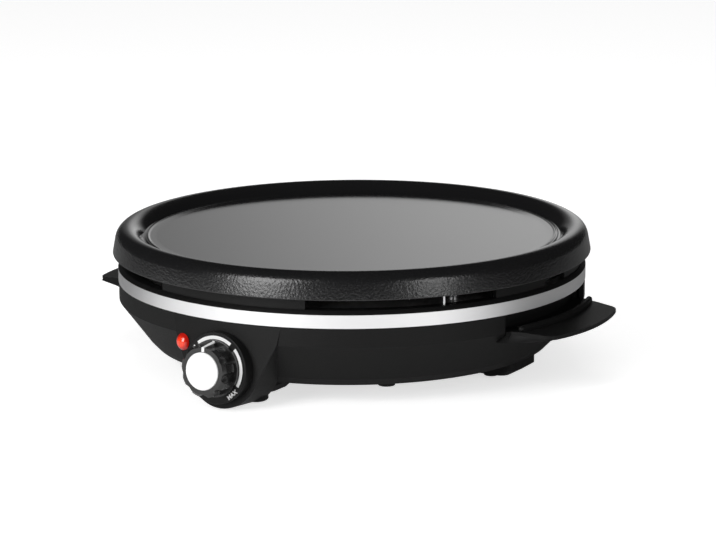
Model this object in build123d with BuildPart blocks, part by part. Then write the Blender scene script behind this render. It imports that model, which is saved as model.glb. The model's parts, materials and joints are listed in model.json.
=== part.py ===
"""Electric crepe maker: round cast cooking plate on a moulded base with a front thermostat knob.

Millimetres and degrees. The worktop is Z = 0, the knob faces -Y and the handles lie along X.
Compass angles run counter-clockwise from +X: the front is 270 degrees and the rear is 90.
"""

from build123d import *
from math import asin, cos, degrees, radians, sin, sqrt, tan
import os

# ---------------------------------------------------------------- driving dimensions
front_angle = 270.0
rear_angle = 90.0

# Heights above the worktop
floor_clearance = 14.3  # worktop to the underside of the housing
housing_height = 43.0  # underside of the housing to the trim band
band_height = 8.7
plate_gap = 10.9  # top of the band to the lower edge of the plate's skirt

# Cooking plate
plate_radius = 162.3  # lower edge of the skirt
plate_face_rise = 10.6  # skirt's lower edge to the cooking face
plate_thickness = 6.2
ridge_ring_radius = 138.4  # fine raised ring round the cooking face
ridge_ring_height = 0.4
groove_radius = 141.8  # run-off groove between the ring and the rim
groove_half_width = 1.6
groove_depth = 0.6
rim_radius = 151.9  # circle through the crest of the rim
rim_crest_rise = 16.3  # skirt's lower edge to the crest
rim_outer_round = 8.8
rim_inner_round = 7.2
rim_inner_turn = 50.0  # how far the crest's inner round turns before the straight slope
skirt_lean = 10.3
skirt_edge_round = 0.6
skirt_wall = 2.4
rim_wall = 5.0
rim_hollow_outer_foot = 5.6  # corners of the hollow under the rim, out and in from the crest circle
rim_hollow_outer_top = 2.7
rim_hollow_inner_top = 1.9
rim_hollow_inner_foot = 4.5
thread_run = 2.0  # threaded holes run on this far past their ridge or boss

# Heating element and the parts that hold it
element_radius = 98.0
element_tube_radius = 3.3
element_gap_angle = 34.0
element_gap_centre = 120.0
element_bend_radius = 9.0
element_drop = 17.0
bush_inset = 0.4  # ceramic bush to the outside of the tube
bush_length = 4.0
blade_thickness = 0.8
blade_width = 4.8
blade_length = 9.0
ridge_half_width = 7.0
ridge_height = 4.0
clip_angles = (200.0, 320.0, 50.0)
clip_thickness = 1.2
clip_width = 10.0
clip_screw_offset = 12.5
clip_screw_radius = 1.5
clip_screw_head_radius = 2.9
clip_screw_head = 2.0
clip_pad_radius = 5.0
clip_leg_start = 0.8  # clip's flat legs start this far outside the tube
clip_leg_end = 4.0  # and end this far past their screws

# Reflector pan
reflector_sheet = 0.8
reflector_radius = 146.0
reflector_rim_width = 26.0
reflector_depth = 4.8
reflector_slope_width = 10.0
reflector_slope_shift = 0.35  # keeps the sheet as thick on the slope
reflector_hole_gap = 2.5

# Posts that carry the plate
post_circle_radius = 136.0
post_angles = (330.0, 90.0, 210.0)
post_radius = 3.5
post_screw_radius = 2.0
post_boss_radius = 6.5
post_boss_height = 5.3
post_screw_head_radius = 3.8
post_screw_head = 2.6
post_lug_radius = 8.0

# Base ring
body_radius = 159.0  # outside of the trim band and of the ring's lip
band_thickness = 1.2
ring_wall = 3.0
ring_shoulder = 2.2  # height of the sloping shoulder
ring_top_radius = 157.4
ring_top_width = 7.4
ring_edge = 0.4  # small steps at the foot and the head of the shoulder
ring_shoulder_arc = 12.0
ledge_drop = 2.2  # ring's top edge to the ledge that carries the reflector
ledge_width = 10.3
ledge_thickness = 2.5
fence_thickness = 3.4  # raised walls that close the gap under the plate
fence_headroom = 1.3  # fence to the underside of the plate
fence_setback = 1.2  # from the outer edge of the ring's top
front_fence_half_angle = 20.5
side_fence_start = 5.0
side_fence_end = 22.3

# Lower housing
housing_wall = 3.0
housing_recess = 0.3  # wall set in from the face of the trim band
housing_floor_radius = 135.0
belly_radius = 139.5
belly_rise = 4.7
straight_wall = 12.5  # upright part of the wall under the band
cover_opening_radius = 92.0
cover_radius = 100.0
cover_thickness = 1.8
cover_lip = 2.0
cover_screw_circle = 96.0
cover_screw_count = 4
cover_screw_start = 45.0
cover_screw_head_radius = 3.0
cover_screw_head = 1.8
cover_screw_bite = 4.0
cover_screw_bore = 8.0
cover_rim = 3.0  # width of the lip's upright rim
cover_rim_height = 0.8
cooling_rows = 3
cooling_slots = 12  # in each row
cooling_first_circle = 38.0
cooling_row_pitch = 18.0
cooling_stagger = 15.0  # every second row is turned by this
cooling_slot_length = 14.0
cooling_slot_width = 3.0
belly_corner_rise = 0.45  # inner corners of the wall rise by these shares of its thickness
taper_corner_rise = 0.2

# Screw towers that join ring and housing
tower_circle_radius = 125.5
tower_offset = 48.5  # towers to the X axis, seen from above
tower_radius = 5.5
tower_foot = 2.8  # how far the tower's mouth stands below the floor
tower_split_height = 40.0
tower_screw_radius = 2.0
tower_screw_head_radius = 3.7
tower_web = 10.0
tower_web_depth = 4.0
tower_web_run = 2.0  # webs run on this far into the ledge
tower_peg_step = 0.5  # ring's half of a tower is this much slimmer than the housing's
tower_thread_depth = 16.0
tower_bore_depth = 40.0
tower_head_depth = 18.0  # mouth of the tower to the seat of its screw
tower_head_gap = 0.4
tower_screw_bite = 14.0
tower_screw_head = 2.6

# Legs and feet
leg_inner_reach = 96.0
leg_outer_reach = 134.0
leg_half_width = 17.6
leg_corner = 6.0
leg_bevel_height = 9.0  # worktop to the bevel round a leg's foot
leg_end_bevel = 7.0
leg_side_bevel = 2.6
front_block_inner_reach = 128.0
front_block_reach = 143.6
front_block_corner = 7.0
front_block_foot = 1.6
front_block_top = 13.4
front_block_bevel = 0.8
pad_circle_radius = 108.5
front_pad_circle_radius = 135.8
pad_radius = 5.0
front_pad_radius = 6.5
pad_height = 4.5
pad_bevel = 0.6
pad_recess_radius = 3.1
pad_recess_depth = 2.4
foot_screw_radius = 1.6
foot_screw_head_radius = 2.9
foot_screw_head = 1.6
foot_screw_length = 10.0

# Handles
handle_reach = 185.5
handle_tip_half = 47.0
handle_tip_x = 178.0
handle_root_x = 147.2
handle_root_half = 53.4
handle_thickness = 2.6
handle_depth = 6.9  # thickness at the root, gusset and all
handle_top = 46.0
handle_fold = 160.0  # where the level top of the root turns down to the shelf
handle_fall = 4.4  # slope of the shelf
gusset_reach = 163.0
gusset_half = 57.5
pocket_half_angle = 20.3
pocket_back_radius = 150.0
pocket_floor = 40.0
pocket_wall_turn = 1.2  # pocket's walls reach this many degrees past it
pocket_wall_bury = 1.0  # how far they sink into the outer wall
tongue_gap = 0.3  # tongue to the pocket's back wall in mm and to its ends in degrees
tongue_overlap = 1.5
shelf_root_run = 20.0  # shelf is drawn this far in from its fold, then cut to the wall
rib_radius = 164.0
rib_round = 2.1
rib_half_angle = 17.0
rib_middle = 47.6  # worktop to the middle of the rib's round
gusset_corner = 14.0
handle_corner = 9.0
handle_screw_angle = 12.0
handle_screw_radius = 1.4
handle_screw_head_radius = 2.6
handle_screw_head = 1.8
handle_screw_reach = 6.5  # how far the screw bites into the tongue

# Control panel and knob
dial_height = 27.8
dial_tilt = 4.5
snout_radius = 27.2
snout_top_half = 41.0
snout_side_half = 38.5
snout_side_drop = 12.3
snout_wall = 2.8
snout_overrun = 4.0  # outline carried on above the joint, where the flared wall ends it
snout_depth = 40.0
bush_hole_depth = 12.0
lamp_hole_depth = 24.0
bezel_radius = 23.1  # where it sinks into the panel
bezel_face_radius = 23.4
bezel_height = 6.8
bezel_seat = 2.2
bezel_face_round = 0.6
bezel_bore_radius = 9.4
knob_skirt_radius = 18.5
knob_skirt_thickness = 2.2
knob_skirt_bevel = 0.5
knob_clearance = 0.3  # knob's skirt to the face of the bezel
knob_radius = 17.3
knob_front = 21.2
knob_front_bevel = 2.0
facet_foot_radius = 17.1  # flat along the pointer's lobe, where it meets the skirt
facet_half_width = 4.0
flute_count = 9
flute_radius = 4.0
flute_circle_radius = 18.9
cap_radius = 12.2
cap_height = 0.9
cap_inset = 1.4
cap_round = 0.6
pointer_width = 2.0
pointer_foot_width = 3.0
pointer_depth = 0.7
pointer_proud = 0.05
pointer_end_gap = 0.2  # pointer to the cap, and to the skirt
shaft_radius = 3.0
shaft_end = 17.0
shaft_end_gap = 0.5
shaft_flat = 0.8
shaft_flat_length = 8.0
shaft_flat_start = 0.3  # knob's round bore runs this far past the start of the flat
bush_radius = 5.0
nut_across_flats = 14.0
nut_thickness = 2.6
thermostat_width = 28.0
thermostat_height = 24.0
thermostat_depth = 18.0
thermostat_corner = 2.0
thermostat_gap = 0.4  # case to the end of the dial's seat
bush_end = 0.6  # bush past its nut
bush_bore_end = 6.0  # bore of the bush ends this far inside the case
shaft_sunk = 5.0  # shaft inside the case
capillary_hole_depth = 10.0

# Indicator lamp
lamp_x = -32.0
lamp_height = 39.5
lens_radius = 5.6
lens_rise = 3.2
lens_stem_radius = 3.4
lens_stem_length = 5.5
lens_seat_gap = 0.3
lamp_body_radius = 3.2
lamp_body_length = 15.0
lamp_body_drop = 5.4  # face of the lamp's seat to the holder

# Temperature probe: bulb under the plate and capillary down to the thermostat
bulb_radius = 3.0
bulb_near_reach = 24.0
bulb_far_reach = 74.0
capillary_radius = 0.9
capillary_bend = 8.0
capillary_reach = 87.0  # plate axis to the upright run
capillary_height = 30.0
capillary_seat = 2.0
capillary_hole_radius = 2.7
bulb_bevel = 1.0
bulb_strap_reach = 50.0
bulb_strap_width = 12.0
bulb_strap_thickness = 1.0
bulb_screw_offset = 9.0
bulb_strap_end = 4.0  # strap past its screws
plate_screw_radius = 1.5  # screws that hold the small parts to the plate's underside
plate_screw_head_radius = 2.8
plate_screw_head = 1.8
plate_screw_bite = 4.0
plate_screw_end_gap = 0.5

# Thermal cut-out on the plate's underside
cutout_x = -44.0
cutout_reach = 34.0  # from the plate axis towards the rear
cutout_radius = 8.0
cutout_height = 9.5
cutout_flange_length = 26.0
cutout_flange_width = 13.0
cutout_flange_thickness = 0.8
cutout_screw_offset = 10.2
cutout_tab_width = 4.8
cutout_tab_thickness = 0.8
cutout_tab_length = 8.0
cutout_tab_spacing = 7.0
cutout_head_gap = 0.4  # body to the heads of its screws

# Cord inlet at the rear
inlet_height = 49.5
inlet_radius = 5.4
inlet_flange_radius = 7.2
inlet_flange = 2.2
inlet_bore_radius = 3.6
inlet_flange_gap = 0.2
inlet_flange_round = 0.8
inlet_length = 8.0

# Terminal block
terminal_length = 34.0
terminal_width = 14.0
terminal_height = 12.0
terminal_y = 113.0
terminal_corner = 1.5
terminal_ways = 3
terminal_way_spacing = 10.0
terminal_way_radius = 1.8
terminal_way_depth = 5.0

# Clearances
seat_gap = 0.1  # between pieces that seat in each other
clip_gap = 0.3  # element clip round the curved tube
round_gap = 0.15  # between curved faces that touch
running_gap = 0.05  # shaft in its bush
shaft_fit = 0.03  # knob on its shaft
screw_gap = 0.25  # screw in a clearance hole
thread_gap = 0.05  # screw in its own threaded hole

# Working lengths that leave no trace in the shape
overlap = 1.0  # solids reach this far into each other before they are fused
beyond = 10.0  # cutters reach this far past what they cut

# ---------------------------------------------------------------- worked-out sizes
joint_z = floor_clearance + housing_height
tilt = radians(dial_tilt)
band_top = joint_z + band_height
edge_z = band_top + plate_gap
face_z = edge_z + plate_face_rise
plate_under = face_z - plate_thickness
crest_z = edge_z + rim_crest_rise
ring_top = band_top + ring_shoulder + ring_edge
ledge_z = ring_top - ledge_drop
wall_radius = body_radius - housing_recess
taper_z = joint_z - straight_wall
belly_z = floor_clearance + belly_rise
floor_top = floor_clearance + housing_wall
ring_bore_radius = ring_top_radius - ring_top_width
ledge_inner_radius = ring_bore_radius - ledge_width
panel_radius = wall_radius + (joint_z - dial_height) * tan(tilt)

# The origin is the middle of the footprint, so the plate axis lies behind it by half of what the
# knob's cap reaches out further in front than the plate does at the rear.
cap_front = knob_front + cap_height - cap_round
cap_reach = panel_radius + cap_front * cos(tilt) + (cap_radius - cap_round) * sin(tilt) + cap_round
axis_y = (cap_reach - plate_radius) / 2

deck = Plane((0, axis_y, 0))
plate_axis = Axis((0, axis_y, 0), (0, 0, 1))


def upright(angle):
    """Vertical plane through the plate axis: local x runs outward at the angle, local y runs up."""
    turn = radians(angle)
    return Plane((0, axis_y, 0), x_dir=(cos(turn), sin(turn), 0), z_dir=(sin(turn), -cos(turn), 0))


def spoke(angle, height=0.0):
    """Level plane on the plate axis whose local x runs outward at the angle."""
    turn = radians(angle)
    return Plane((0, axis_y, height), x_dir=(cos(turn), sin(turn), 0), z_dir=(0, 0, 1))


side = upright(0)

# The control panel's face: local x to the right, local y up, local z out towards the user
panel = Plane((0, axis_y - panel_radius, dial_height), x_dir=(1, 0, 0), z_dir=(0, -cos(tilt), sin(tilt)))


# ---------------------------------------------------------------- cooking plate
lean = radians(skirt_lean)
turn_in = radians(90 + rim_inner_turn)
outer_middle_z = crest_z - rim_outer_round
inner_middle_z = crest_z - rim_inner_round
flank_top = (rim_radius + rim_outer_round * cos(lean), outer_middle_z + rim_outer_round * sin(lean))
slope_top = (rim_radius + rim_inner_round * cos(turn_in), inner_middle_z + rim_inner_round * sin(turn_in))
slope_foot_z = face_z - groove_depth
slope_foot = (slope_top[0] - (slope_top[1] - slope_foot_z) / tan(radians(rim_inner_turn)), slope_foot_z)
outer_half = radians((skirt_lean + 90) / 2)
inner_half = radians(90 + rim_inner_turn / 2)
outer_middle = (
    rim_radius + rim_outer_round * cos(outer_half),
    outer_middle_z + rim_outer_round * sin(outer_half),
)
inner_middle = (
    rim_radius + rim_inner_round * cos(inner_half),
    inner_middle_z + rim_inner_round * sin(inner_half),
)
rim_hollow_z = crest_z - rim_wall
strap_screw_places = ((-bulb_screw_offset, -bulb_strap_reach), (bulb_screw_offset, -bulb_strap_reach))
cutout_screw_places = (
    (cutout_x - cutout_screw_offset, cutout_reach),
    (cutout_x + cutout_screw_offset, cutout_reach),
)
small_screw_places = strap_screw_places + cutout_screw_places
screw_reaches = ((element_radius - clip_screw_offset, 0), (element_radius + clip_screw_offset, 0))
with BuildPart() as cooking_plate:
    with BuildSketch(side):
        with BuildLine():
            Polyline(
                (0, plate_under),
                (0, face_z),
                (ridge_ring_radius - 2 * ridge_ring_height, face_z),
                (ridge_ring_radius, face_z + ridge_ring_height),
                (ridge_ring_radius + 2 * ridge_ring_height, face_z),
                (groove_radius - groove_half_width, face_z),
                (groove_radius - groove_half_width / 2, slope_foot_z),
                slope_foot,
                slope_top,
            )
            ThreePointArc(slope_top, inner_middle, (rim_radius, crest_z))
            ThreePointArc((rim_radius, crest_z), outer_middle, flank_top)
            Polyline(
                flank_top,
                (plate_radius, edge_z + skirt_edge_round),
                (plate_radius - skirt_edge_round / 2, edge_z),
                (plate_radius - skirt_wall, edge_z),
                (rim_radius + rim_hollow_outer_foot, plate_under),
                (rim_radius + rim_hollow_outer_top, rim_hollow_z),
                (rim_radius - rim_hollow_inner_top, rim_hollow_z),
                (rim_radius - rim_hollow_inner_foot, plate_under),
                (0, plate_under),
            )
        make_face()
    revolve(axis=plate_axis)
    # ridge under the plate with the groove that the heating element lies in
    with BuildSketch(side):
        with Locations((element_radius, plate_under - (ridge_height - overlap) / 2)):
            Rectangle(2 * ridge_half_width, ridge_height + overlap)
    revolve(axis=plate_axis)
    # pads for the clip screws, bosses for the posts
    for clip_angle in clip_angles:
        with BuildSketch(spoke(clip_angle, plate_under - ridge_height)):
            with Locations(*screw_reaches):
                Circle(clip_pad_radius)
        extrude(amount=ridge_height + overlap)
    for post_angle in post_angles:
        with BuildSketch(spoke(post_angle, plate_under - post_boss_height)):
            with Locations((post_circle_radius, 0)):
                Circle(post_boss_radius)
        extrude(amount=post_boss_height + overlap)
    with BuildSketch(side):
        with Locations((element_radius, plate_under - ridge_height)):
            Circle(element_tube_radius + seat_gap)
    revolve(axis=plate_axis, mode=Mode.SUBTRACT)
    # threaded holes, blind
    for clip_angle in clip_angles:
        with BuildSketch(spoke(clip_angle, plate_under - ridge_height)):
            with Locations(*screw_reaches):
                Circle(clip_screw_radius + thread_gap)
        extrude(amount=ridge_height + thread_run, mode=Mode.SUBTRACT)
    for post_angle in post_angles:
        with BuildSketch(spoke(post_angle, plate_under - post_boss_height)):
            with Locations((post_circle_radius, 0)):
                Circle(post_screw_radius + thread_gap)
        extrude(amount=post_boss_height + thread_run, mode=Mode.SUBTRACT)
    with BuildSketch(deck.offset(plate_under)):
        with Locations(*small_screw_places):
            Circle(plate_screw_radius + thread_gap)
    extrude(amount=plate_screw_bite, mode=Mode.SUBTRACT)
cooking_plate.part.label = "cooking_plate"

# ---------------------------------------------------------------- heating element
element_z = plate_under - ridge_height
element_start = element_gap_centre + element_gap_angle / 2
element_sweep = 360 - element_gap_angle
element_ends = (element_start, element_start + element_sweep)


def element_end(angle):
    """Level plane at an end of the heated ring, local x outward."""
    turn = radians(angle)
    place = (element_radius * cos(turn), axis_y + element_radius * sin(turn), element_z)
    return Plane(place, x_dir=(cos(turn), sin(turn), 0), z_dir=(0, 0, 1))


with BuildPart() as heating_element:
    with BuildSketch(upright(element_start)):
        with Locations((element_radius, element_z)):
            Circle(element_tube_radius)
    revolve(axis=plate_axis, revolution_arc=element_sweep)
    for end_angle, sense in ((element_ends[0], -1), (element_ends[1], 1)):
        end = element_end(end_angle)
        bend_axis = Axis(end.origin - Vector(0, 0, element_bend_radius), end.x_dir * sense)
        with BuildSketch(Plane(end.origin, x_dir=end.x_dir, z_dir=end.y_dir)):
            Circle(element_tube_radius)
        revolve(axis=bend_axis, revolution_arc=-90)
        leg = end.offset(-element_bend_radius)
        with BuildSketch(leg):
            with Locations((0, sense * element_bend_radius)):
                Circle(element_tube_radius)
        extrude(amount=-(element_drop - element_bend_radius))
heating_element.part.label = "heating_element"

with BuildPart() as element_bushes:
    for end_angle, sense in ((element_ends[0], -1), (element_ends[1], 1)):
        with BuildSketch(element_end(end_angle).offset(-element_drop)):
            with Locations((0, sense * element_bend_radius)):
                Circle(element_tube_radius - bush_inset)
        extrude(amount=-bush_length)
element_bushes.part.label = "element_bushes"

with BuildPart() as element_terminals:
    for end_angle, sense in ((element_ends[0], -1), (element_ends[1], 1)):
        with BuildSketch(element_end(end_angle).offset(-element_drop - bush_length)):
            with Locations((0, sense * element_bend_radius)):
                Rectangle(blade_thickness, blade_width)
        extrude(amount=-blade_length)
element_terminals.part.label = "element_terminals"

clip_outer_radius = element_tube_radius + clip_gap + clip_thickness
with BuildPart() as element_clips:
    for clip_angle in clip_angles:
        with BuildSketch(upright(clip_angle).offset(-clip_width / 2)):
            with Locations((element_radius, element_z)):
                Circle(clip_outer_radius)
                Circle(element_tube_radius + clip_gap, mode=Mode.SUBTRACT)
            with Locations((element_radius, element_z + clip_outer_radius)):
                Rectangle(4 * clip_outer_radius, 2 * clip_outer_radius, mode=Mode.SUBTRACT)
            flat_start = element_tube_radius + clip_leg_start
            flat_length = clip_screw_offset + clip_leg_end - flat_start
            for flat_side in (-1, 1):
                flat_x = element_radius + flat_side * (flat_start + flat_length / 2)
                with Locations((flat_x, element_z - clip_thickness / 2)):
                    Rectangle(flat_length, clip_thickness)
        extrude(amount=clip_width)
        with BuildSketch(spoke(clip_angle, element_z)):
            with Locations(*screw_reaches):
                Circle(clip_screw_radius + screw_gap)
        extrude(amount=-clip_thickness, mode=Mode.SUBTRACT)
element_clips.part.label = "element_clips"

with BuildPart() as clip_screws:
    for clip_angle in clip_angles:
        with BuildSketch(spoke(clip_angle, element_z - clip_thickness)):
            with Locations(*screw_reaches):
                Circle(clip_screw_radius)
        extrude(amount=clip_thickness + ridge_height)
        with BuildSketch(spoke(clip_angle, element_z - clip_thickness)):
            with Locations(*screw_reaches):
                Circle(clip_screw_head_radius)
        extrude(amount=-clip_screw_head)
clip_screws.part.label = "clip_screws"

# ---------------------------------------------------------------- reflector pan
slope_out = reflector_radius - reflector_rim_width
slope_in = slope_out - reflector_slope_width
pan_z = ledge_z - reflector_depth
with BuildPart() as heat_reflector:
    with BuildSketch(side):
        with BuildLine():
            Polyline(
                (0, pan_z),
                (slope_in, pan_z),
                (slope_out, ledge_z),
                (reflector_radius, ledge_z),
                (reflector_radius, ledge_z + reflector_sheet),
                (slope_out - reflector_slope_shift, ledge_z + reflector_sheet),
                (slope_in - reflector_slope_shift, pan_z + reflector_sheet),
                (0, pan_z + reflector_sheet),
                close=True,
            )
        make_face()
    revolve(axis=plate_axis)
    for post_angle in post_angles:
        with BuildSketch(spoke(post_angle, ledge_z)):
            with Locations((post_circle_radius, 0)):
                Circle(post_screw_radius + screw_gap)
        extrude(amount=reflector_sheet, mode=Mode.SUBTRACT)
    for end_angle, sense in ((element_ends[0], -1), (element_ends[1], 1)):
        with BuildSketch(element_end(end_angle).offset(pan_z - element_z)):
            with Locations((0, sense * element_bend_radius)):
                Circle(element_tube_radius + reflector_hole_gap)
        extrude(amount=reflector_sheet, mode=Mode.SUBTRACT)
    with BuildSketch(deck.offset(pan_z)):
        with Locations((0, -capillary_reach)):
            Circle(capillary_hole_radius)
        with Locations((cutout_x, cutout_reach)):
            Circle(cutout_radius)
    extrude(amount=reflector_sheet, mode=Mode.SUBTRACT)
heat_reflector.part.label = "heat_reflector"

# ---------------------------------------------------------------- posts and their screws
sleeve_bottom = ledge_z + reflector_sheet
sleeve_top = plate_under - post_boss_height
with BuildPart() as support_posts:
    for post_angle in post_angles:
        with BuildSketch(spoke(post_angle, sleeve_bottom)):
            with Locations((post_circle_radius, 0)):
                Circle(post_radius)
                Circle(post_screw_radius + screw_gap, mode=Mode.SUBTRACT)
        extrude(amount=sleeve_top - sleeve_bottom)
support_posts.part.label = "support_posts"

post_lug_bottom = ledge_z - ledge_thickness
with BuildPart() as post_screws:
    for post_angle in post_angles:
        with BuildSketch(spoke(post_angle, post_lug_bottom)):
            with Locations((post_circle_radius, 0)):
                Circle(post_screw_radius)
        extrude(amount=sleeve_top + post_boss_height - post_lug_bottom)
        with BuildSketch(spoke(post_angle, post_lug_bottom)):
            with Locations((post_circle_radius, 0)):
                Circle(post_screw_head_radius)
        extrude(amount=-post_screw_head)
post_screws.part.label = "post_screws"

# ---------------------------------------------------------------- base ring
tower_angles = (tower_offset, 180 - tower_offset, 180 + tower_offset, 360 - tower_offset)
band_inner_radius = body_radius - band_thickness
fence_outer_radius = ring_top_radius - fence_setback
fence_top = plate_under - fence_headroom
fence_arcs = (
    (front_angle - front_fence_half_angle, 2 * front_fence_half_angle),
    (rear_angle - front_fence_half_angle, 2 * front_fence_half_angle),
    (side_fence_start, side_fence_end - side_fence_start),
    (-side_fence_end, side_fence_end - side_fence_start),
    (180 + side_fence_start, side_fence_end - side_fence_start),
    (180 - side_fence_end, side_fence_end - side_fence_start),
)
with BuildPart() as base_ring:
    with BuildSketch(side):
        with BuildLine():
            Polyline(
                (ring_top_radius, ring_top - ring_edge),
                (ring_top_radius - ring_edge, ring_top),
                (ring_bore_radius, ring_top),
                (ring_bore_radius, ledge_z),
                (ledge_inner_radius, ledge_z),
                (ledge_inner_radius, ledge_z - ledge_thickness),
                (band_inner_radius - seat_gap - ring_wall, ledge_z - ledge_thickness),
                (band_inner_radius - seat_gap - ring_wall, joint_z),
                (band_inner_radius - seat_gap, joint_z),
                (band_inner_radius - seat_gap, band_top),
                (body_radius, band_top),
                (body_radius, band_top + ring_edge),
            )
            RadiusArc(
                (body_radius, band_top + ring_edge),
                (ring_top_radius, ring_top - ring_edge),
                -ring_shoulder_arc,
            )
        make_face()
    revolve(axis=plate_axis)
    fence_middle = (ring_top + fence_top - overlap) / 2
    for fence_start, fence_arc in fence_arcs:
        with BuildSketch(upright(fence_start)):
            with Locations((fence_outer_radius - fence_thickness / 2, fence_middle)):
                Rectangle(fence_thickness, fence_top - ring_top + overlap)
        revolve(axis=plate_axis, revolution_arc=fence_arc)
    for post_angle in post_angles:
        with BuildSketch(spoke(post_angle, post_lug_bottom)):
            with Locations((post_circle_radius, 0)):
                Circle(post_lug_radius)
        extrude(amount=ledge_thickness)
    for tower_angle in tower_angles:
        with BuildSketch(spoke(tower_angle, ledge_z - tower_web_depth)):
            with Locations(((tower_circle_radius + ledge_inner_radius + tower_web_run) / 2, 0)):
                Rectangle(ledge_inner_radius + tower_web_run - tower_circle_radius, tower_web)
            with Locations((tower_circle_radius, 0)):
                Circle(tower_web / 2)
        extrude(amount=tower_web_depth)
        with BuildSketch(spoke(tower_angle, tower_split_height)):
            with Locations((tower_circle_radius, 0)):
                Circle(tower_radius - tower_peg_step)
        extrude(amount=ledge_z - tower_split_height)
    for post_angle in post_angles:
        with BuildSketch(spoke(post_angle, post_lug_bottom)):
            with Locations((post_circle_radius, 0)):
                Circle(post_screw_radius + screw_gap)
        extrude(amount=ledge_thickness, mode=Mode.SUBTRACT)
    for tower_angle in tower_angles:
        with BuildSketch(spoke(tower_angle, tower_split_height)):
            with Locations((tower_circle_radius, 0)):
                Circle(tower_screw_radius + thread_gap)
        extrude(amount=tower_thread_depth, mode=Mode.SUBTRACT)
base_ring.part.label = "base_ring"

# ---------------------------------------------------------------- trim band
with BuildPart() as trim_band:
    with BuildSketch(side):
        with Locations((body_radius - band_thickness / 2, joint_z + band_height / 2 - seat_gap / 2)):
            Rectangle(band_thickness, band_height - seat_gap)
    revolve(axis=plate_axis)
trim_band.part.label = "trim_band"

# ---------------------------------------------------------------- lower housing
taper_slope = (wall_radius - belly_radius) / (taper_z - belly_z)


def wall_at(height):
    """Outer radius of the housing at a height on its tapered part."""
    return wall_radius - (taper_z - height) * taper_slope


def bowl_outline(inset):
    """Half section of the housing's outside, taken in by the inset along the radius."""
    return [
        (0, floor_clearance + inset),
        (housing_floor_radius - inset, floor_clearance + inset),
        (belly_radius - inset, belly_z + inset * belly_corner_rise),
        (wall_radius - inset, taper_z + inset * taper_corner_rise),
        (wall_radius - inset, joint_z),
        (0, joint_z),
    ]


def draw_snout(inset):
    """Control panel outline on the current sketch plane, as the hull of its round and its shoulders."""
    top = (joint_z - dial_height) / cos(tilt)
    low = top - snout_side_drop
    spread = (snout_top_half - snout_side_half) / snout_side_drop
    high = top + snout_overrun
    high_half = snout_top_half - inset + snout_overrun * spread
    low_half = snout_side_half - inset
    with BuildLine(mode=Mode.PRIVATE) as edges:
        CenterArc((0, 0), snout_radius - inset, 0, 360)
        Polyline((-low_half, low), (-high_half, high), (high_half, high), (low_half, low))
    make_hull(edges.edges())


def console_block(inset, floor, top):
    """Control console: flared wall within the panel outline, open to the rear above the floor."""
    foot = dial_height - snout_radius + inset
    rear = housing_floor_radius - snout_depth
    with BuildPart() as block:
        with BuildSketch(side):
            with BuildLine():
                Polyline(
                    (rear, foot),
                    (wall_radius - inset + (joint_z - foot) * tan(tilt), foot),
                    (wall_radius - inset - (top - joint_z) * tan(tilt), top),
                    (rear, top),
                    close=True,
                )
            make_face()
        revolve(axis=plate_axis)
        with BuildSketch(panel.offset(beyond)):
            draw_snout(inset)
        extrude(amount=-(beyond + snout_depth), mode=Mode.INTERSECT)
        with BuildSketch(deck):
            with Locations((0, overlap - inset)):
                Rectangle(2 * housing_floor_radius, 2 * housing_floor_radius)
        extrude(amount=floor, mode=Mode.SUBTRACT)
    return block.part


console_outer = console_block(0, floor_clearance + overlap, joint_z)
console_inner = console_block(snout_wall, floor_top, joint_z + overlap)

leg_middle = (leg_inner_reach + leg_outer_reach) / 2
leg_length = leg_outer_reach - leg_inner_reach
with BuildPart() as leg:
    with BuildSketch(spoke(0, leg_bevel_height)):
        with Locations((leg_middle, 0)):
            RectangleRounded(leg_length, 2 * leg_half_width, leg_corner)
    extrude(amount=floor_clearance + overlap - leg_bevel_height)
    with BuildSketch(spoke(0, leg_bevel_height)):
        with Locations((leg_middle, 0)):
            RectangleRounded(leg_length, 2 * leg_half_width, leg_corner)
    with BuildSketch(spoke(0, pad_height)):
        with Locations((leg_middle, 0)):
            RectangleRounded(
                leg_length - 2 * leg_end_bevel,
                2 * (leg_half_width - leg_side_bevel),
                leg_corner,
            )
    loft()

with BuildPart() as front_block:
    with BuildSketch(spoke(front_angle, front_block_foot)):
        with Locations(((front_block_inner_reach + front_block_reach) / 2, 0)):
            RectangleRounded(
                front_block_reach - front_block_inner_reach,
                2 * leg_half_width,
                front_block_corner,
            )
    extrude(amount=front_block_top - front_block_foot)
    chamfer(front_block.faces().sort_by(Axis.Z)[0].edges(), front_block_bevel)


def handle_screw_plane(angle):
    """Plane across a handle screw, on the pocket's back wall; local z runs outward."""
    out = Vector(cos(radians(angle)), sin(radians(angle)), 0)
    reach = out * (pocket_back_radius - housing_wall)
    place = (reach.X, axis_y + reach.Y, (pocket_floor + handle_top) / 2)
    return Plane(place, x_dir=(0, 0, 1), z_dir=out)


leg_angles = (0.0, 90.0, 180.0, 270.0)
pad_places = (
    (pad_circle_radius, 0),
    (0, pad_circle_radius),
    (-pad_circle_radius, 0),
    (0, -front_pad_circle_radius),
)
lamp_turn = front_angle + degrees(asin(lamp_x / panel_radius))
lamp_tilted = (
    cos(radians(lamp_turn)) * cos(radians(dial_tilt)),
    sin(radians(lamp_turn)) * cos(radians(dial_tilt)),
    sin(radians(dial_tilt)),
)
lamp_reach = wall_radius + (joint_z - lamp_height) * tan(radians(dial_tilt))
lamp_seat = Plane(
    (
        lamp_reach * cos(radians(lamp_turn)),
        axis_y + lamp_reach * sin(radians(lamp_turn)),
        lamp_height,
    ),
    x_dir=(-sin(radians(lamp_turn)), cos(radians(lamp_turn)), 0),
    z_dir=lamp_tilted,
)

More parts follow.
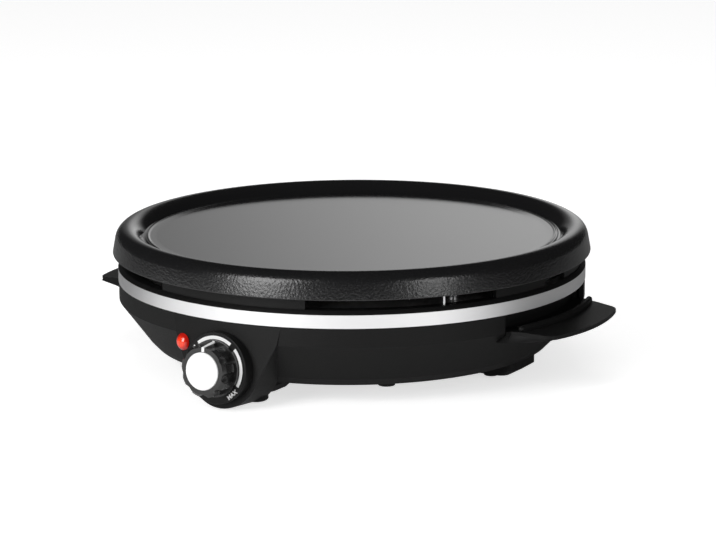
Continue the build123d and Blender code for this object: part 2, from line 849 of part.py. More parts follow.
with BuildPart() as lower_housing:
    with BuildSketch(side):
        with BuildLine():
            Polyline(*bowl_outline(0), close=True)
        make_face()
    revolve(axis=plate_axis)
    add(console_outer)
    for leg_angle in leg_angles:
        add(leg.part.rotate(plate_axis, leg_angle))
    # inside of the bowl and of the console
    with BuildSketch(side):
        with BuildLine():
            Polyline(*bowl_outline(housing_wall), close=True)
        make_face()
    revolve(axis=plate_axis, mode=Mode.SUBTRACT)
    add(console_inner, mode=Mode.SUBTRACT)
    add(front_block.part)
    # lip round the opening for the bottom cover
    with BuildSketch(deck.offset(floor_clearance)):
        Circle(cover_radius + seat_gap + cover_rim)
        Circle(cover_opening_radius, mode=Mode.SUBTRACT)
    extrude(amount=cover_thickness + seat_gap + cover_lip + cover_rim_height)
    with BuildSketch(deck.offset(floor_clearance)):
        Circle(cover_opening_radius)
    extrude(amount=housing_wall, mode=Mode.SUBTRACT)
    with BuildSketch(deck.offset(floor_clearance)):
        Circle(cover_radius + seat_gap)
    extrude(amount=cover_thickness + seat_gap, mode=Mode.SUBTRACT)
    # towers for the screws that hold the base ring
    for tower_angle in tower_angles:
        with BuildSketch(spoke(tower_angle, floor_clearance - tower_foot)):
            with Locations((tower_circle_radius, 0)):
                Circle(tower_radius)
        extrude(amount=tower_split_height - floor_clearance + tower_foot)
        with BuildSketch(spoke(tower_angle, floor_clearance - tower_foot)):
            with Locations((tower_circle_radius, 0)):
                Circle(tower_screw_head_radius + tower_head_gap)
        extrude(amount=tower_head_depth, mode=Mode.SUBTRACT)
        with BuildSketch(spoke(tower_angle, floor_clearance - tower_foot)):
            with Locations((tower_circle_radius, 0)):
                Circle(tower_screw_radius + screw_gap)
        extrude(amount=tower_bore_depth, mode=Mode.SUBTRACT)
    # pockets behind the handles
    for pocket_middle in (0, 180):
        with BuildSketch(upright(pocket_middle - pocket_half_angle - pocket_wall_turn)):
            with BuildLine():
                Polyline(
                    (pocket_back_radius - housing_wall, joint_z),
                    (pocket_back_radius - housing_wall, pocket_floor - housing_wall),
                    (wall_at(pocket_floor - housing_wall) - pocket_wall_bury, pocket_floor - housing_wall),
                    (wall_at(pocket_floor) - pocket_wall_bury, pocket_floor),
                    (wall_at(pocket_floor) - pocket_wall_bury, joint_z),
                    close=True,
                )
            make_face()
        revolve(axis=plate_axis, revolution_arc=2 * (pocket_half_angle + pocket_wall_turn))
        with BuildSketch(upright(pocket_middle - pocket_half_angle)):
            with Locations(((pocket_back_radius + body_radius + beyond) / 2, (pocket_floor + joint_z) / 2)):
                Rectangle(body_radius + beyond - pocket_back_radius, joint_z - pocket_floor)
        revolve(axis=plate_axis, revolution_arc=2 * pocket_half_angle, mode=Mode.SUBTRACT)
        for screw_side in (-1, 1):
            with BuildSketch(handle_screw_plane(pocket_middle + screw_side * handle_screw_angle)):
                Circle(handle_screw_radius + screw_gap)
            extrude(amount=housing_wall + overlap, both=True, mode=Mode.SUBTRACT)
    # flat seat and hole for the dial, hole for the lamp, hole for the cord inlet
    with BuildSketch(panel.offset(-bezel_seat)):
        Circle(bezel_radius + seat_gap)
    extrude(amount=beyond, mode=Mode.SUBTRACT)
    with BuildSketch(panel):
        Circle(bush_radius + screw_gap)
    extrude(amount=-bush_hole_depth, mode=Mode.SUBTRACT)
    with BuildSketch(lamp_seat.offset(beyond)):
        Circle(lens_stem_radius + seat_gap)
    extrude(amount=-(beyond + lamp_hole_depth), mode=Mode.SUBTRACT)
    with BuildSketch(Plane(upright(rear_angle).origin, x_dir=(-1, 0, 0), z_dir=(0, 1, 0))):
        with Locations((0, inlet_height)):
            Circle(inlet_radius + seat_gap)
    extrude(amount=body_radius + beyond, mode=Mode.SUBTRACT)
    # seat of the front pad, screw holes in the legs and in the cover's lip
    with BuildSketch(spoke(front_angle)):
        with Locations((front_pad_circle_radius, 0)):
            Circle(front_pad_radius + seat_gap)
    extrude(amount=pad_height, mode=Mode.SUBTRACT)
    with BuildSketch(deck.offset(pad_height)):
        with Locations(*pad_places):
            Circle(foot_screw_radius + thread_gap)
    extrude(amount=foot_screw_length - pad_height + pad_recess_depth + 1, mode=Mode.SUBTRACT)
    with BuildSketch(deck.offset(floor_clearance + cover_thickness)):
        with PolarLocations(cover_screw_circle, cover_screw_count, start_angle=cover_screw_start):
            Circle(foot_screw_radius + thread_gap)
    extrude(amount=cover_screw_bore, mode=Mode.SUBTRACT)
lower_housing.part.label = "lower_housing"

# ---------------------------------------------------------------- bottom cover and its screws
with BuildPart() as bottom_cover:
    with BuildSketch(deck.offset(floor_clearance)):
        Circle(cover_radius)
        for row in range(cooling_rows):
            slot_circle = cooling_first_circle + row * cooling_row_pitch
            with PolarLocations(slot_circle, cooling_slots, start_angle=cooling_stagger * (row % 2)):
                SlotOverall(cooling_slot_length, cooling_slot_width, rotation=90, mode=Mode.SUBTRACT)
        with PolarLocations(cover_screw_circle, cover_screw_count, start_angle=cover_screw_start):
            Circle(foot_screw_radius + screw_gap, mode=Mode.SUBTRACT)
    extrude(amount=cover_thickness)
bottom_cover.part.label = "bottom_cover"

with BuildPart() as cover_screws:
    with BuildSketch(deck.offset(floor_clearance)):
        with PolarLocations(cover_screw_circle, cover_screw_count, start_angle=cover_screw_start):
            Circle(foot_screw_radius)
    extrude(amount=cover_thickness + cover_screw_bite)
    with BuildSketch(deck.offset(floor_clearance)):
        with PolarLocations(cover_screw_circle, cover_screw_count, start_angle=cover_screw_start):
            Circle(cover_screw_head_radius)
    extrude(amount=-cover_screw_head)
cover_screws.part.label = "cover_screws"

head_seat = floor_clearance - tower_foot + tower_head_depth
with BuildPart() as housing_screws:
    for tower_angle in tower_angles:
        with BuildSketch(spoke(tower_angle, head_seat)):
            with Locations((tower_circle_radius, 0)):
                Circle(tower_screw_radius)
        extrude(amount=tower_split_height + tower_screw_bite - head_seat)
        with BuildSketch(spoke(tower_angle, head_seat)):
            with Locations((tower_circle_radius, 0)):
                Circle(tower_screw_head_radius)
        extrude(amount=-tower_screw_head)
housing_screws.part.label = "housing_screws"

# ---------------------------------------------------------------- handles
tongue_radius = pocket_back_radius + seat_gap + tongue_gap
tongue_end = body_radius + tongue_overlap
shell_outline = bowl_outline(-round_gap)
shelf_root = handle_fold - shelf_root_run


def shelf_plane(middle):
    """Underside of the sloping shelf: local x outward, measured like the radius."""
    out = Vector(cos(radians(middle)), sin(radians(middle)), 0)
    fall = radians(handle_fall)
    along = out * cos(fall) + Vector(0, 0, -sin(fall))
    up = out * sin(fall) + Vector(0, 0, cos(fall))
    fold = Vector(0, axis_y, handle_top - handle_thickness) + out * handle_fold
    return Plane(fold - along * handle_fold, x_dir=along, z_dir=up)


def draw_shelf_outline():
    """Straight-sided outline of the shelf out to its corners."""
    Polyline(
        (handle_tip_x, handle_tip_half),
        (handle_root_x, handle_root_half),
        (shelf_root, handle_root_half),
        (shelf_root, -handle_root_half),
        (handle_root_x, -handle_root_half),
        (handle_tip_x, -handle_tip_half),
    )


def handle_shape(middle):
    """Shelf handle whose middle lies at the angle."""
    with BuildPart() as handle:
        # gusset under the shelf, widest against the wall
        with BuildSketch(spoke(middle, handle_top - handle_depth)):
            with BuildLine():
                Polyline(
                    (shelf_root, -gusset_half),
                    (gusset_reach - gusset_corner, -gusset_half),
                    (gusset_reach, -handle_tip_half),
                    (gusset_reach, handle_tip_half),
                    (gusset_reach - gusset_corner, gusset_half),
                    (shelf_root, gusset_half),
                    close=True,
                )
            make_face()
        with BuildSketch(shelf_plane(middle)):
            with BuildLine():
                draw_shelf_outline()
                Line((handle_tip_x, -handle_tip_half), (handle_tip_x, handle_tip_half))
            make_face()
        loft()
        with BuildSketch(shelf_plane(middle)) as outline:
            with BuildLine():
                draw_shelf_outline()
                ThreePointArc(
                    (handle_tip_x, -handle_tip_half),
                    (handle_reach, 0),
                    (handle_tip_x, handle_tip_half),
                )
            make_face()
            fillet(outline.vertices().group_by(SortBy.DISTANCE)[-1], handle_corner)
        extrude(amount=handle_thickness)
        with BuildSketch(deck.offset(handle_top)):
            Rectangle(2 * (handle_reach + beyond), 2 * (handle_reach + beyond))
        extrude(amount=beyond, mode=Mode.SUBTRACT)
        # hollow that clears the wall of the housing
        with BuildSketch(side):
            with BuildLine():
                Polyline(*shell_outline, close=True)
            make_face()
        revolve(axis=plate_axis, mode=Mode.SUBTRACT)
        # tongue that lies in the pocket
        half = pocket_half_angle - tongue_gap
        with BuildSketch(upright(middle - half)):
            with Locations(((tongue_radius + tongue_end) / 2, (pocket_floor + handle_top) / 2)):
                Rectangle(tongue_end - tongue_radius, handle_top - pocket_floor)
        revolve(axis=plate_axis, revolution_arc=2 * half)
        # thumb rib
        with BuildSketch(upright(middle - rib_half_angle)):
            with Locations((rib_radius, rib_middle)):
                Circle(rib_round)
            with Locations((rib_radius, rib_middle - rib_round / 2)):
                Rectangle(2 * rib_round, rib_round)
        revolve(axis=plate_axis, revolution_arc=2 * rib_half_angle)
        for rib_end in (-rib_half_angle, rib_half_angle):
            with Locations(spoke(middle + rib_end).location * Pos(rib_radius, 0, rib_middle)):
                Sphere(rib_round)
        for screw_side in (-1, 1):
            with BuildSketch(handle_screw_plane(middle + screw_side * handle_screw_angle)):
                Circle(handle_screw_radius + thread_gap)
            extrude(amount=housing_wall + handle_screw_reach + 1, mode=Mode.SUBTRACT)
    return handle


right_handle = handle_shape(0)
right_handle.part.label = "right_handle"
left_handle = handle_shape(180)
left_handle.part.label = "left_handle"

with BuildPart() as handle_screws:
    for pocket_middle in (0, 180):
        for screw_side in (-1, 1):
            place = handle_screw_plane(pocket_middle + screw_side * handle_screw_angle).offset(-seat_gap)
            with BuildSketch(place):
                Circle(handle_screw_radius)
            extrude(amount=seat_gap + housing_wall + handle_screw_reach)
            with BuildSketch(place):
                Circle(handle_screw_head_radius)
            extrude(amount=-handle_screw_head)
handle_screws.part.label = "handle_screws"


# ---------------------------------------------------------------- feet
def foot_pad(angle, reach, radius):
    """Rubber pad under one leg, recessed for its screw."""
    with BuildPart() as pad:
        with BuildSketch(spoke(angle)):
            with Locations((reach, 0)):
                Circle(radius)
        extrude(amount=pad_height)
        chamfer(pad.faces().sort_by(Axis.Z)[0].edges(), pad_bevel)
        with BuildSketch(spoke(angle)):
            with Locations((reach, 0)):
                Circle(pad_recess_radius)
        extrude(amount=pad_recess_depth, mode=Mode.SUBTRACT)
        with BuildSketch(spoke(angle)):
            with Locations((reach, 0)):
                Circle(foot_screw_radius + screw_gap)
        extrude(amount=pad_height, mode=Mode.SUBTRACT)
    return pad


right_foot = foot_pad(0, pad_circle_radius, pad_radius)
right_foot.part.label = "right_foot"
rear_foot = foot_pad(90, pad_circle_radius, pad_radius)
rear_foot.part.label = "rear_foot"
left_foot = foot_pad(180, pad_circle_radius, pad_radius)
left_foot.part.label = "left_foot"
front_foot = foot_pad(front_angle, front_pad_circle_radius, front_pad_radius)
front_foot.part.label = "front_foot"

with BuildPart() as foot_screws:
    with BuildSketch(deck.offset(pad_recess_depth)):
        with Locations(*pad_places):
            Circle(foot_screw_radius)
    extrude(amount=foot_screw_length)
    with BuildSketch(deck.offset(pad_recess_depth)):
        with Locations(*pad_places):
            Circle(foot_screw_head_radius)
    extrude(amount=-foot_screw_head)
foot_screws.part.label = "foot_screws"

# ---------------------------------------------------------------- dial
with BuildPart() as dial_bezel:
    with BuildSketch(panel.offset(-bezel_seat)):
        Circle(bezel_radius)
    with BuildSketch(panel.offset(bezel_height)):
        Circle(bezel_face_radius)
    loft()
    fillet(dial_bezel.faces().sort_by(Axis.Y)[0].edges(), bezel_face_round)
    with BuildSketch(panel.offset(bezel_height)):
        Circle(bezel_bore_radius)
    extrude(amount=-(bezel_height + bezel_seat), mode=Mode.SUBTRACT)
dial_bezel.part.label = "dial_bezel"

# ---------------------------------------------------------------- thermostat
bush_front = -bezel_seat + nut_thickness + bush_end
thermostat_face = -snout_wall - bezel_seat
case_front = thermostat_face - thermostat_gap
thermostat_back = case_front - thermostat_depth
back_rise = capillary_height - dial_height
capillary_end = axis_y - panel_radius - thermostat_back / cos(tilt) + back_rise * tan(tilt) - capillary_seat
with BuildPart() as thermostat:
    with BuildSketch(panel.offset(case_front)):
        RectangleRounded(thermostat_width, thermostat_height, thermostat_corner)
    extrude(amount=-thermostat_depth)
    with BuildSketch(panel.offset(case_front)):
        Circle(bush_radius)
    extrude(amount=bush_front - case_front)
    with BuildSketch(panel.offset(bush_front)):
        Circle(shaft_radius + running_gap)
    extrude(amount=-(bush_front - thermostat_face + bush_bore_end), mode=Mode.SUBTRACT)
    with BuildSketch(Plane((0, capillary_end, capillary_height), x_dir=(1, 0, 0), z_dir=(0, -1, 0))):
        Circle(capillary_radius + seat_gap)
    extrude(amount=capillary_hole_depth, both=True, mode=Mode.SUBTRACT)
thermostat.part.label = "thermostat"

with BuildPart() as thermostat_nut:
    with BuildSketch(panel.offset(-bezel_seat)):
        RegularPolygon(nut_across_flats / 2, 6, major_radius=False)
        Circle(bush_radius + thread_gap, mode=Mode.SUBTRACT)
    extrude(amount=nut_thickness)
thermostat_nut.part.label = "thermostat_nut"

with BuildPart() as thermostat_shaft:
    with BuildSketch(panel.offset(thermostat_face - shaft_sunk)):
        Circle(shaft_radius)
    extrude(amount=shaft_end - thermostat_face + shaft_sunk)
    with BuildSketch(panel.offset(shaft_end)):
        with Locations((0, shaft_radius)):
            Rectangle(2 * shaft_radius, 2 * shaft_flat)
    extrude(amount=-shaft_flat_length, mode=Mode.SUBTRACT)
thermostat_shaft.part.label = "thermostat_shaft"

# ---------------------------------------------------------------- knob
knob_skirt_base = bezel_height + knob_clearance
skirt_front = knob_skirt_base + knob_skirt_thickness
knob_front_radius = knob_radius - knob_front_bevel
cap_floor = knob_front - cap_inset

# Knob's side view: local x up the dial, local y out of it. Knob's top view: local x out, local y across.
knob_side = Plane(panel.origin, x_dir=panel.y_dir, z_dir=panel.x_dir)
knob_top = Plane(panel.origin, x_dir=panel.z_dir, z_dir=panel.y_dir)


def pointer_strip(gap, proud):
    """Pointer: from the cap over the front of the knob and along its facet, widening to the skirt."""
    inner = cap_radius + seat_gap + pointer_end_gap
    foot = skirt_front + pointer_end_gap - gap
    depth = pointer_depth + gap
    front_half = pointer_width / 2 + gap
    foot_half = pointer_foot_width / 2 + gap
    with BuildPart() as strip:
        with BuildSketch(knob_side):
            with BuildLine():
                Polyline(
                    (inner, knob_front + proud),
                    (knob_front_radius + proud, knob_front + proud),
                    (facet_foot_radius + proud, foot),
                    (facet_foot_radius - depth, foot),
                    (knob_front_radius - depth, knob_front - depth),
                    (inner, knob_front - depth),
                    close=True,
                )
            make_face()
        extrude(amount=foot_half, both=True)
        with BuildSketch(knob_top):
            with BuildLine():
                Polyline(
                    (foot, -foot_half),
                    (knob_front + proud, -front_half),
                    (knob_front + proud, front_half),
                    (foot, foot_half),
                    close=True,
                )
            make_face()
        extrude(amount=2 * knob_radius, mode=Mode.INTERSECT)
    return strip.part


pointer_groove = pointer_strip(running_gap, 1.0)

with BuildPart() as control_knob:
    with BuildSketch(panel.offset(skirt_front)):
        Circle(knob_radius)
    extrude(amount=knob_front - skirt_front)
    chamfer(control_knob.faces().sort_by(Axis.Y)[0].edges(), knob_front_bevel)
    with BuildSketch(panel.offset(skirt_front)):
        with PolarLocations(flute_circle_radius, flute_count, start_angle=90 + 180 / flute_count):
            Circle(flute_radius)
    extrude(amount=knob_front - skirt_front, mode=Mode.SUBTRACT)
    # flat on the lobe that carries the pointer
    with BuildSketch(knob_side):
        with BuildLine():
            Polyline(
                (knob_front_radius, knob_front),
                (facet_foot_radius, skirt_front),
                (knob_skirt_radius, skirt_front),
                (knob_skirt_radius, knob_front),
                close=True,
            )
        make_face()
    extrude(amount=facet_half_width, both=True, mode=Mode.SUBTRACT)
    with BuildSketch(panel.offset(knob_skirt_base)):
        Circle(knob_skirt_radius)
    extrude(amount=knob_skirt_thickness)
    chamfer(control_knob.faces().sort_by(Axis.Y)[-1].edges(), knob_skirt_bevel)
    with BuildSketch(panel.offset(knob_front)):
        Circle(cap_radius + seat_gap)
    extrude(amount=-cap_inset, mode=Mode.SUBTRACT)
    # bore for the shaft, flat at the front and round behind
    with BuildSketch(panel.offset(knob_skirt_base)):
        Circle(shaft_radius + shaft_fit)
        with Locations((0, shaft_radius)):
            Rectangle(2 * shaft_radius, 2 * (shaft_flat - shaft_fit), mode=Mode.SUBTRACT)
    extrude(amount=shaft_end + shaft_end_gap - knob_skirt_base, mode=Mode.SUBTRACT)
    with BuildSketch(panel.offset(knob_skirt_base)):
        Circle(shaft_radius + shaft_fit)
    extrude(amount=shaft_end - shaft_flat_length + shaft_flat_start - knob_skirt_base, mode=Mode.SUBTRACT)
    add(pointer_groove, mode=Mode.SUBTRACT)
control_knob.part.label = "control_knob"

with BuildPart() as knob_pointer:
    add(pointer_strip(0, pointer_proud))
knob_pointer.part.label = "knob_pointer"

with BuildPart() as knob_cap:
    with BuildSketch(panel.offset(cap_floor)):
        Circle(cap_radius)
    extrude(amount=cap_inset + cap_height)
    fillet(knob_cap.faces().sort_by(Axis.Y)[0].edges(), cap_round)
knob_cap.part.label = "knob_cap"

# ---------------------------------------------------------------- indicator lamp
with BuildPart() as indicator_lens:
    lens_ball = (lens_radius**2 + lens_rise**2) / (2 * lens_rise)
    lens_base = lamp_seat.offset(lens_seat_gap)
    lens_plane = Plane(lens_base.origin, x_dir=lamp_seat.x_dir, z_dir=-lamp_seat.y_dir)
    with BuildSketch(lens_plane):
        with BuildLine():
            Polyline(
                (0, lens_rise),
                (0, -lens_stem_length),
                (lens_stem_radius, -lens_stem_length),
                (lens_stem_radius, 0),
                (lens_radius, 0),
            )
            RadiusArc((lens_radius, 0), (0, lens_rise), -lens_ball)
        make_face()
    revolve(axis=Axis(lens_plane.origin, lamp_seat.z_dir))
indicator_lens.part.label = "indicator_lens"

with BuildPart() as indicator_lamp:
    with BuildSketch(lamp_seat.offset(-lamp_body_drop)):
        Circle(lamp_body_radius)
    extrude(amount=-lamp_body_length)
indicator_lamp.part.label = "indicator_lamp"

# ---------------------------------------------------------------- temperature probe and its strap
bulb_z = plate_under - bulb_radius - seat_gap
with BuildPart() as temperature_probe:
    with BuildLine() as capillary_path:
        FilletPolyline(
            (0, axis_y - bulb_near_reach - 2 * bulb_radius, bulb_z),
            (0, axis_y - capillary_reach, bulb_z),
            (0, axis_y - capillary_reach, capillary_height),
            (0, capillary_end, capillary_height),
            radius=capillary_bend,
        )
    with BuildSketch(Plane(capillary_path.line @ 0, z_dir=capillary_path.line % 0)):
        Circle(capillary_radius)
    sweep(path=capillary_path.line)
    with BuildSketch(Plane((0, axis_y - bulb_near_reach, bulb_z), x_dir=(1, 0, 0), z_dir=(0, -1, 0))):
        Circle(bulb_radius)
    extrude(amount=bulb_far_reach - bulb_near_reach)
    bulb_rims = temperature_probe.edges().filter_by(GeomType.CIRCLE)
    chamfer(bulb_rims.filter_by(lambda rim: rim.radius == bulb_radius), bulb_bevel)
temperature_probe.part.label = "temperature_probe"

strap_bore = bulb_radius + clip_gap
strap_outer = strap_bore + bulb_strap_thickness
strap_drop = plate_under - bulb_z
with BuildPart() as probe_strap:
    with BuildSketch(Plane((0, axis_y - bulb_strap_reach, plate_under), x_dir=(1, 0, 0), z_dir=(0, -1, 0))):
        with Locations((0, -strap_drop)):
            Circle(strap_outer)
        with Locations((0, -strap_drop / 2)):
            Rectangle(2 * strap_outer, strap_drop)
        with Locations((0, -bulb_strap_thickness / 2)):
            Rectangle(2 * (bulb_screw_offset + bulb_strap_end), bulb_strap_thickness)
        with Locations((0, -strap_drop)):
            Circle(strap_bore, mode=Mode.SUBTRACT)
        with Locations((0, -strap_drop / 2)):
            Rectangle(2 * strap_bore, strap_drop, mode=Mode.SUBTRACT)
        with Locations((0, strap_outer)):
            Rectangle(4 * strap_outer, 2 * strap_outer, mode=Mode.SUBTRACT)
    extrude(amount=bulb_strap_width / 2, both=True)
    with BuildSketch(deck.offset(plate_under)):
        with Locations(*strap_screw_places):
            Circle(plate_screw_radius + screw_gap)
    extrude(amount=-bulb_strap_thickness, mode=Mode.SUBTRACT)
probe_strap.part.label = "probe_strap"


def small_screws(places, thickness):
    """Pan-head screws up into the plate's underside, through a sheet of the thickness."""
    with BuildPart() as screws:
        with BuildSketch(deck.offset(plate_under - thickness)):
            with Locations(*places):
                Circle(plate_screw_radius)
        extrude(amount=thickness + plate_screw_bite - plate_screw_end_gap)
        with BuildSketch(deck.offset(plate_under - thickness)):
            with Locations(*places):
                Circle(plate_screw_head_radius)
        extrude(amount=-plate_screw_head)
    return screws


strap_screws = small_screws(strap_screw_places, bulb_strap_thickness)
strap_screws.part.label = "strap_screws"

# ---------------------------------------------------------------- thermal cut-out
with BuildPart() as thermal_cutout:
    with BuildSketch(deck.offset(plate_under)):
        with Locations((cutout_x, cutout_reach)):
            SlotOverall(cutout_flange_length, cutout_flange_width)
        with Locations(*cutout_screw_places):
            Circle(plate_screw_radius + screw_gap, mode=Mode.SUBTRACT)
    extrude(amount=-cutout_flange_thickness)
    with BuildSketch(deck.offset(plate_under - cutout_flange_thickness)):
        with Locations((cutout_x, cutout_reach)):
            Circle(cutout_screw_offset - plate_screw_head_radius - cutout_head_gap)
    extrude(amount=-cutout_height)
    with BuildSketch(deck.offset(plate_under - cutout_flange_thickness - cutout_height)):
        with Locations((cutout_x, cutout_reach)):
            with GridLocations(cutout_tab_spacing, 1, 2, 1):
                Rectangle(cutout_tab_thickness, cutout_tab_width)
    extrude(amount=-cutout_tab_length)
thermal_cutout.part.label = "thermal_cutout"

cutout_screws = small_screws(cutout_screw_places, cutout_flange_thickness)
cutout_screws.part.label = "cutout_screws"

# ---------------------------------------------------------------- cord inlet and terminal block
with BuildPart() as cord_inlet:
    inlet_plane = Plane((0, axis_y, inlet_height), x_dir=(-1, 0, 0), z_dir=(0, 1, 0))
    with BuildSketch(inlet_plane.offset(wall_radius + inlet_flange_gap)):
        Circle(inlet_flange_radius)
    extrude(amount=inlet_flange)
    fillet(cord_inlet.faces().sort_by(Axis.Y)[-1].edges(), inlet_flange_round)
    with BuildSketch(inlet_plane.offset(wall_radius + inlet_flange_gap)):
        Circle(inlet_radius)
    extrude(amount=-inlet_length)
    with BuildSketch(inlet_plane.offset(wall_radius)):
        Circle(inlet_bore_radius)
    extrude(amount=beyond, both=True, mode=Mode.SUBTRACT)
cord_inlet.part.label = "cord_inlet"

with BuildPart() as terminal_block:
    with BuildSketch(deck.offset(floor_top)):
        with Locations((0, terminal_y)):
            RectangleRounded(terminal_length, terminal_width, terminal_corner)
    extrude(amount=terminal_height)
    with BuildSketch(deck.offset(floor_top + terminal_height)):
        with GridLocations(terminal_way_spacing, 1, terminal_ways, 1):
            with Locations((0, terminal_y)):
                Circle(terminal_way_radius)
    extrude(amount=-terminal_way_depth, mode=Mode.SUBTRACT)
terminal_block.part.label = "terminal_block"

# ---------------------------------------------------------------- files
os.makedirs("parts", exist_ok=True)
export_step(cooking_plate.part, "parts/cooking_plate.step")
export_step(heating_element.part, "parts/heating_element.step")
export_step(element_bushes.part, "parts/element_bushes.step")
export_step(element_terminals.part, "parts/element_terminals.step")
export_step(element_clips.part, "parts/element_clips.step")
export_step(clip_screws.part, "parts/clip_screws.step")
export_step(heat_reflector.part, "parts/heat_reflector.step")
export_step(support_posts.part, "parts/support_posts.step")
export_step(post_screws.part, "parts/post_screws.step")
export_step(base_ring.part, "parts/base_ring.step")
export_step(trim_band.part, "parts/trim_band.step")
export_step(lower_housing.part, "parts/lower_housing.step")
export_step(bottom_cover.part, "parts/bottom_cover.step")
export_step(cover_screws.part, "parts/cover_screws.step")
export_step(housing_screws.part, "parts/housing_screws.step")
export_step(right_handle.part, "parts/right_handle.step")
export_step(left_handle.part, "parts/left_handle.step")
export_step(handle_screws.part, "parts/handle_screws.step")
export_step(right_foot.part, "parts/right_foot.step")
export_step(rear_foot.part, "parts/rear_foot.step")
export_step(left_foot.part, "parts/left_foot.step")
export_step(front_foot.part, "parts/front_foot.step")
export_step(foot_screws.part, "parts/foot_screws.step")
export_step(dial_bezel.part, "parts/dial_bezel.step")
export_step(thermostat.part, "parts/thermostat.step")
export_step(thermostat_nut.part, "parts/thermostat_nut.step")
export_step(thermostat_shaft.part, "parts/thermostat_shaft.step")
export_step(control_knob.part, "parts/control_knob.step")
export_step(knob_cap.part, "parts/knob_cap.step")
export_step(knob_pointer.part, "parts/knob_pointer.step")
export_step(indicator_lens.part, "parts/indicator_lens.step")
export_step(indicator_lamp.part, "parts/indicator_lamp.step")
export_step(temperature_probe.part, "parts/temperature_probe.step")
export_step(probe_strap.part, "parts/probe_strap.step")
export_step(strap_screws.part, "parts/strap_screws.step")
export_step(thermal_cutout.part, "parts/thermal_cutout.step")
export_step(cutout_screws.part, "parts/cutout_screws.step")
export_step(cord_inlet.part, "parts/cord_inlet.step")
export_step(terminal_block.part, "parts/terminal_block.step")
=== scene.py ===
import json
import math

import bmesh
import bpy
from mathutils import Matrix, Vector


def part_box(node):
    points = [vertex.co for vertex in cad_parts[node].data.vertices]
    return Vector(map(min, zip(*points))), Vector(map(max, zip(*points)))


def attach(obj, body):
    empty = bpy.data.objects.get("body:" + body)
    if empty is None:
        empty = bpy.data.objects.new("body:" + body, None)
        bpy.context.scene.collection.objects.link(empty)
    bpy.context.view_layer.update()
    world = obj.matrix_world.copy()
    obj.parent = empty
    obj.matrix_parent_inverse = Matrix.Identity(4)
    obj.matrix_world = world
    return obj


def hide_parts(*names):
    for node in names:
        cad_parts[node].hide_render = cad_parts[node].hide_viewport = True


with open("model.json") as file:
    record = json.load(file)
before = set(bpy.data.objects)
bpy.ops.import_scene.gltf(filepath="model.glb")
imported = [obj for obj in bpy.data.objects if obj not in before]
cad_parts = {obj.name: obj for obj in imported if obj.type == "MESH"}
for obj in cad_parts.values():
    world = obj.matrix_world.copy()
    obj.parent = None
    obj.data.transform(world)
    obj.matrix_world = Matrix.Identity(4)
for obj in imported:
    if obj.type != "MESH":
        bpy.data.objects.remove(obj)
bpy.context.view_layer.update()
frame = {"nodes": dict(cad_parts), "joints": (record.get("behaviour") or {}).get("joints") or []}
nodes = frame["nodes"]

# ---------------------------------------- places taken from the frame, in metres
plate_low, plate_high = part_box("cooking_plate")
axis_y = (plate_low.y + plate_high.y) / 2  # the plate's own axis
knob_joint = frame["joints"][0]
dial_middle = Vector(knob_joint["pos_m"])  # where the knob's axis meets the front panel
dial_out = Vector(knob_joint["axis"]).normalized()  # out of the panel
dial_right = Vector((1, 0, 0))
dial_up = dial_right.cross(dial_out) * -1
bezel_face = 0.0068  # from the panel to the bezel's flat face
skirt_front = 0.0093  # from the panel to the front of the knob's skirt

same_point = 1e-6  # corners nearer than this are one corner
sharp_turn = math.radians(35)  # edges that turn by more stay sharp


# ---------------------------------------- shader sums
class Value:
    """A shader number that takes part in ordinary Python sums."""

    def __init__(self, graph, socket):
        self.graph = graph
        self.socket = socket

    def sum(self, operation, first, second=0.0, third=0.0):
        terms = {0: first, 1: second, 2: third}
        node = self.graph.node("ShaderNodeMath", {"operation": operation}, terms)
        return Value(self.graph, node.outputs[0])

    def __add__(self, other):
        return self.sum("ADD", self, other)

    def __sub__(self, other):
        return self.sum("SUBTRACT", self, other)

    def __rsub__(self, other):
        return self.sum("SUBTRACT", other, self)

    def __mul__(self, other):
        return self.sum("MULTIPLY", self, other)

    __radd__ = __add__
    __rmul__ = __mul__

    def power(self, exponent):
        return self.sum("POWER", self, exponent)

    def between(self, low, high):
        """0 below low, 1 above high and a smooth rise from one to the other."""
        node = self.graph.node(
            "ShaderNodeMapRange",
            {"interpolation_type": "SMOOTHSTEP"},
            {"Value": self, "From Min": low, "From Max": high},
        )
        return Value(self.graph, node.outputs["Result"])

    def near(self, middle, half, edge):
        """1 within half of the middle, falling to 0 over the edge on both sides."""
        away = self.sum("ABSOLUTE", self - middle)
        return 1.0 - away.between(half, half + edge)


class Graph:
    """A node tree, what feeds it and the sums made in it."""

    def __init__(self, tree):
        self.tree = tree

    def feed(self, socket, value):
        if isinstance(value, Value):
            value = value.socket
        if isinstance(value, bpy.types.NodeSocket):
            self.tree.links.new(value, socket)
        else:
            socket.default_value = value

    def node(self, kind, settings=None, inputs=None):
        """Adds a node: its settings first, then the values or links of its sockets."""
        node = self.tree.nodes.new(kind)
        for name, value in (settings or {}).items():
            setattr(node, name, value)
        for name, value in (inputs or {}).items():
            self.feed(node.inputs[name], value)
        return node

    def split(self, vector):
        parts = self.node("ShaderNodeSeparateXYZ", None, {0: vector}).outputs
        return [Value(self, part) for part in parts]

    def join(self, x, y, z):
        return self.node("ShaderNodeCombineXYZ", None, {0: x, 1: y, 2: z}).outputs[0]

    def rays(self):
        """(seen by the camera, by a reflection, through something clear), each 0 or 1."""
        path = self.node("ShaderNodeLightPath").outputs
        kinds = ("Is Camera Ray", "Is Glossy Ray", "Is Transmission Ray")
        return [Value(self, path[kind]) for kind in kinds]


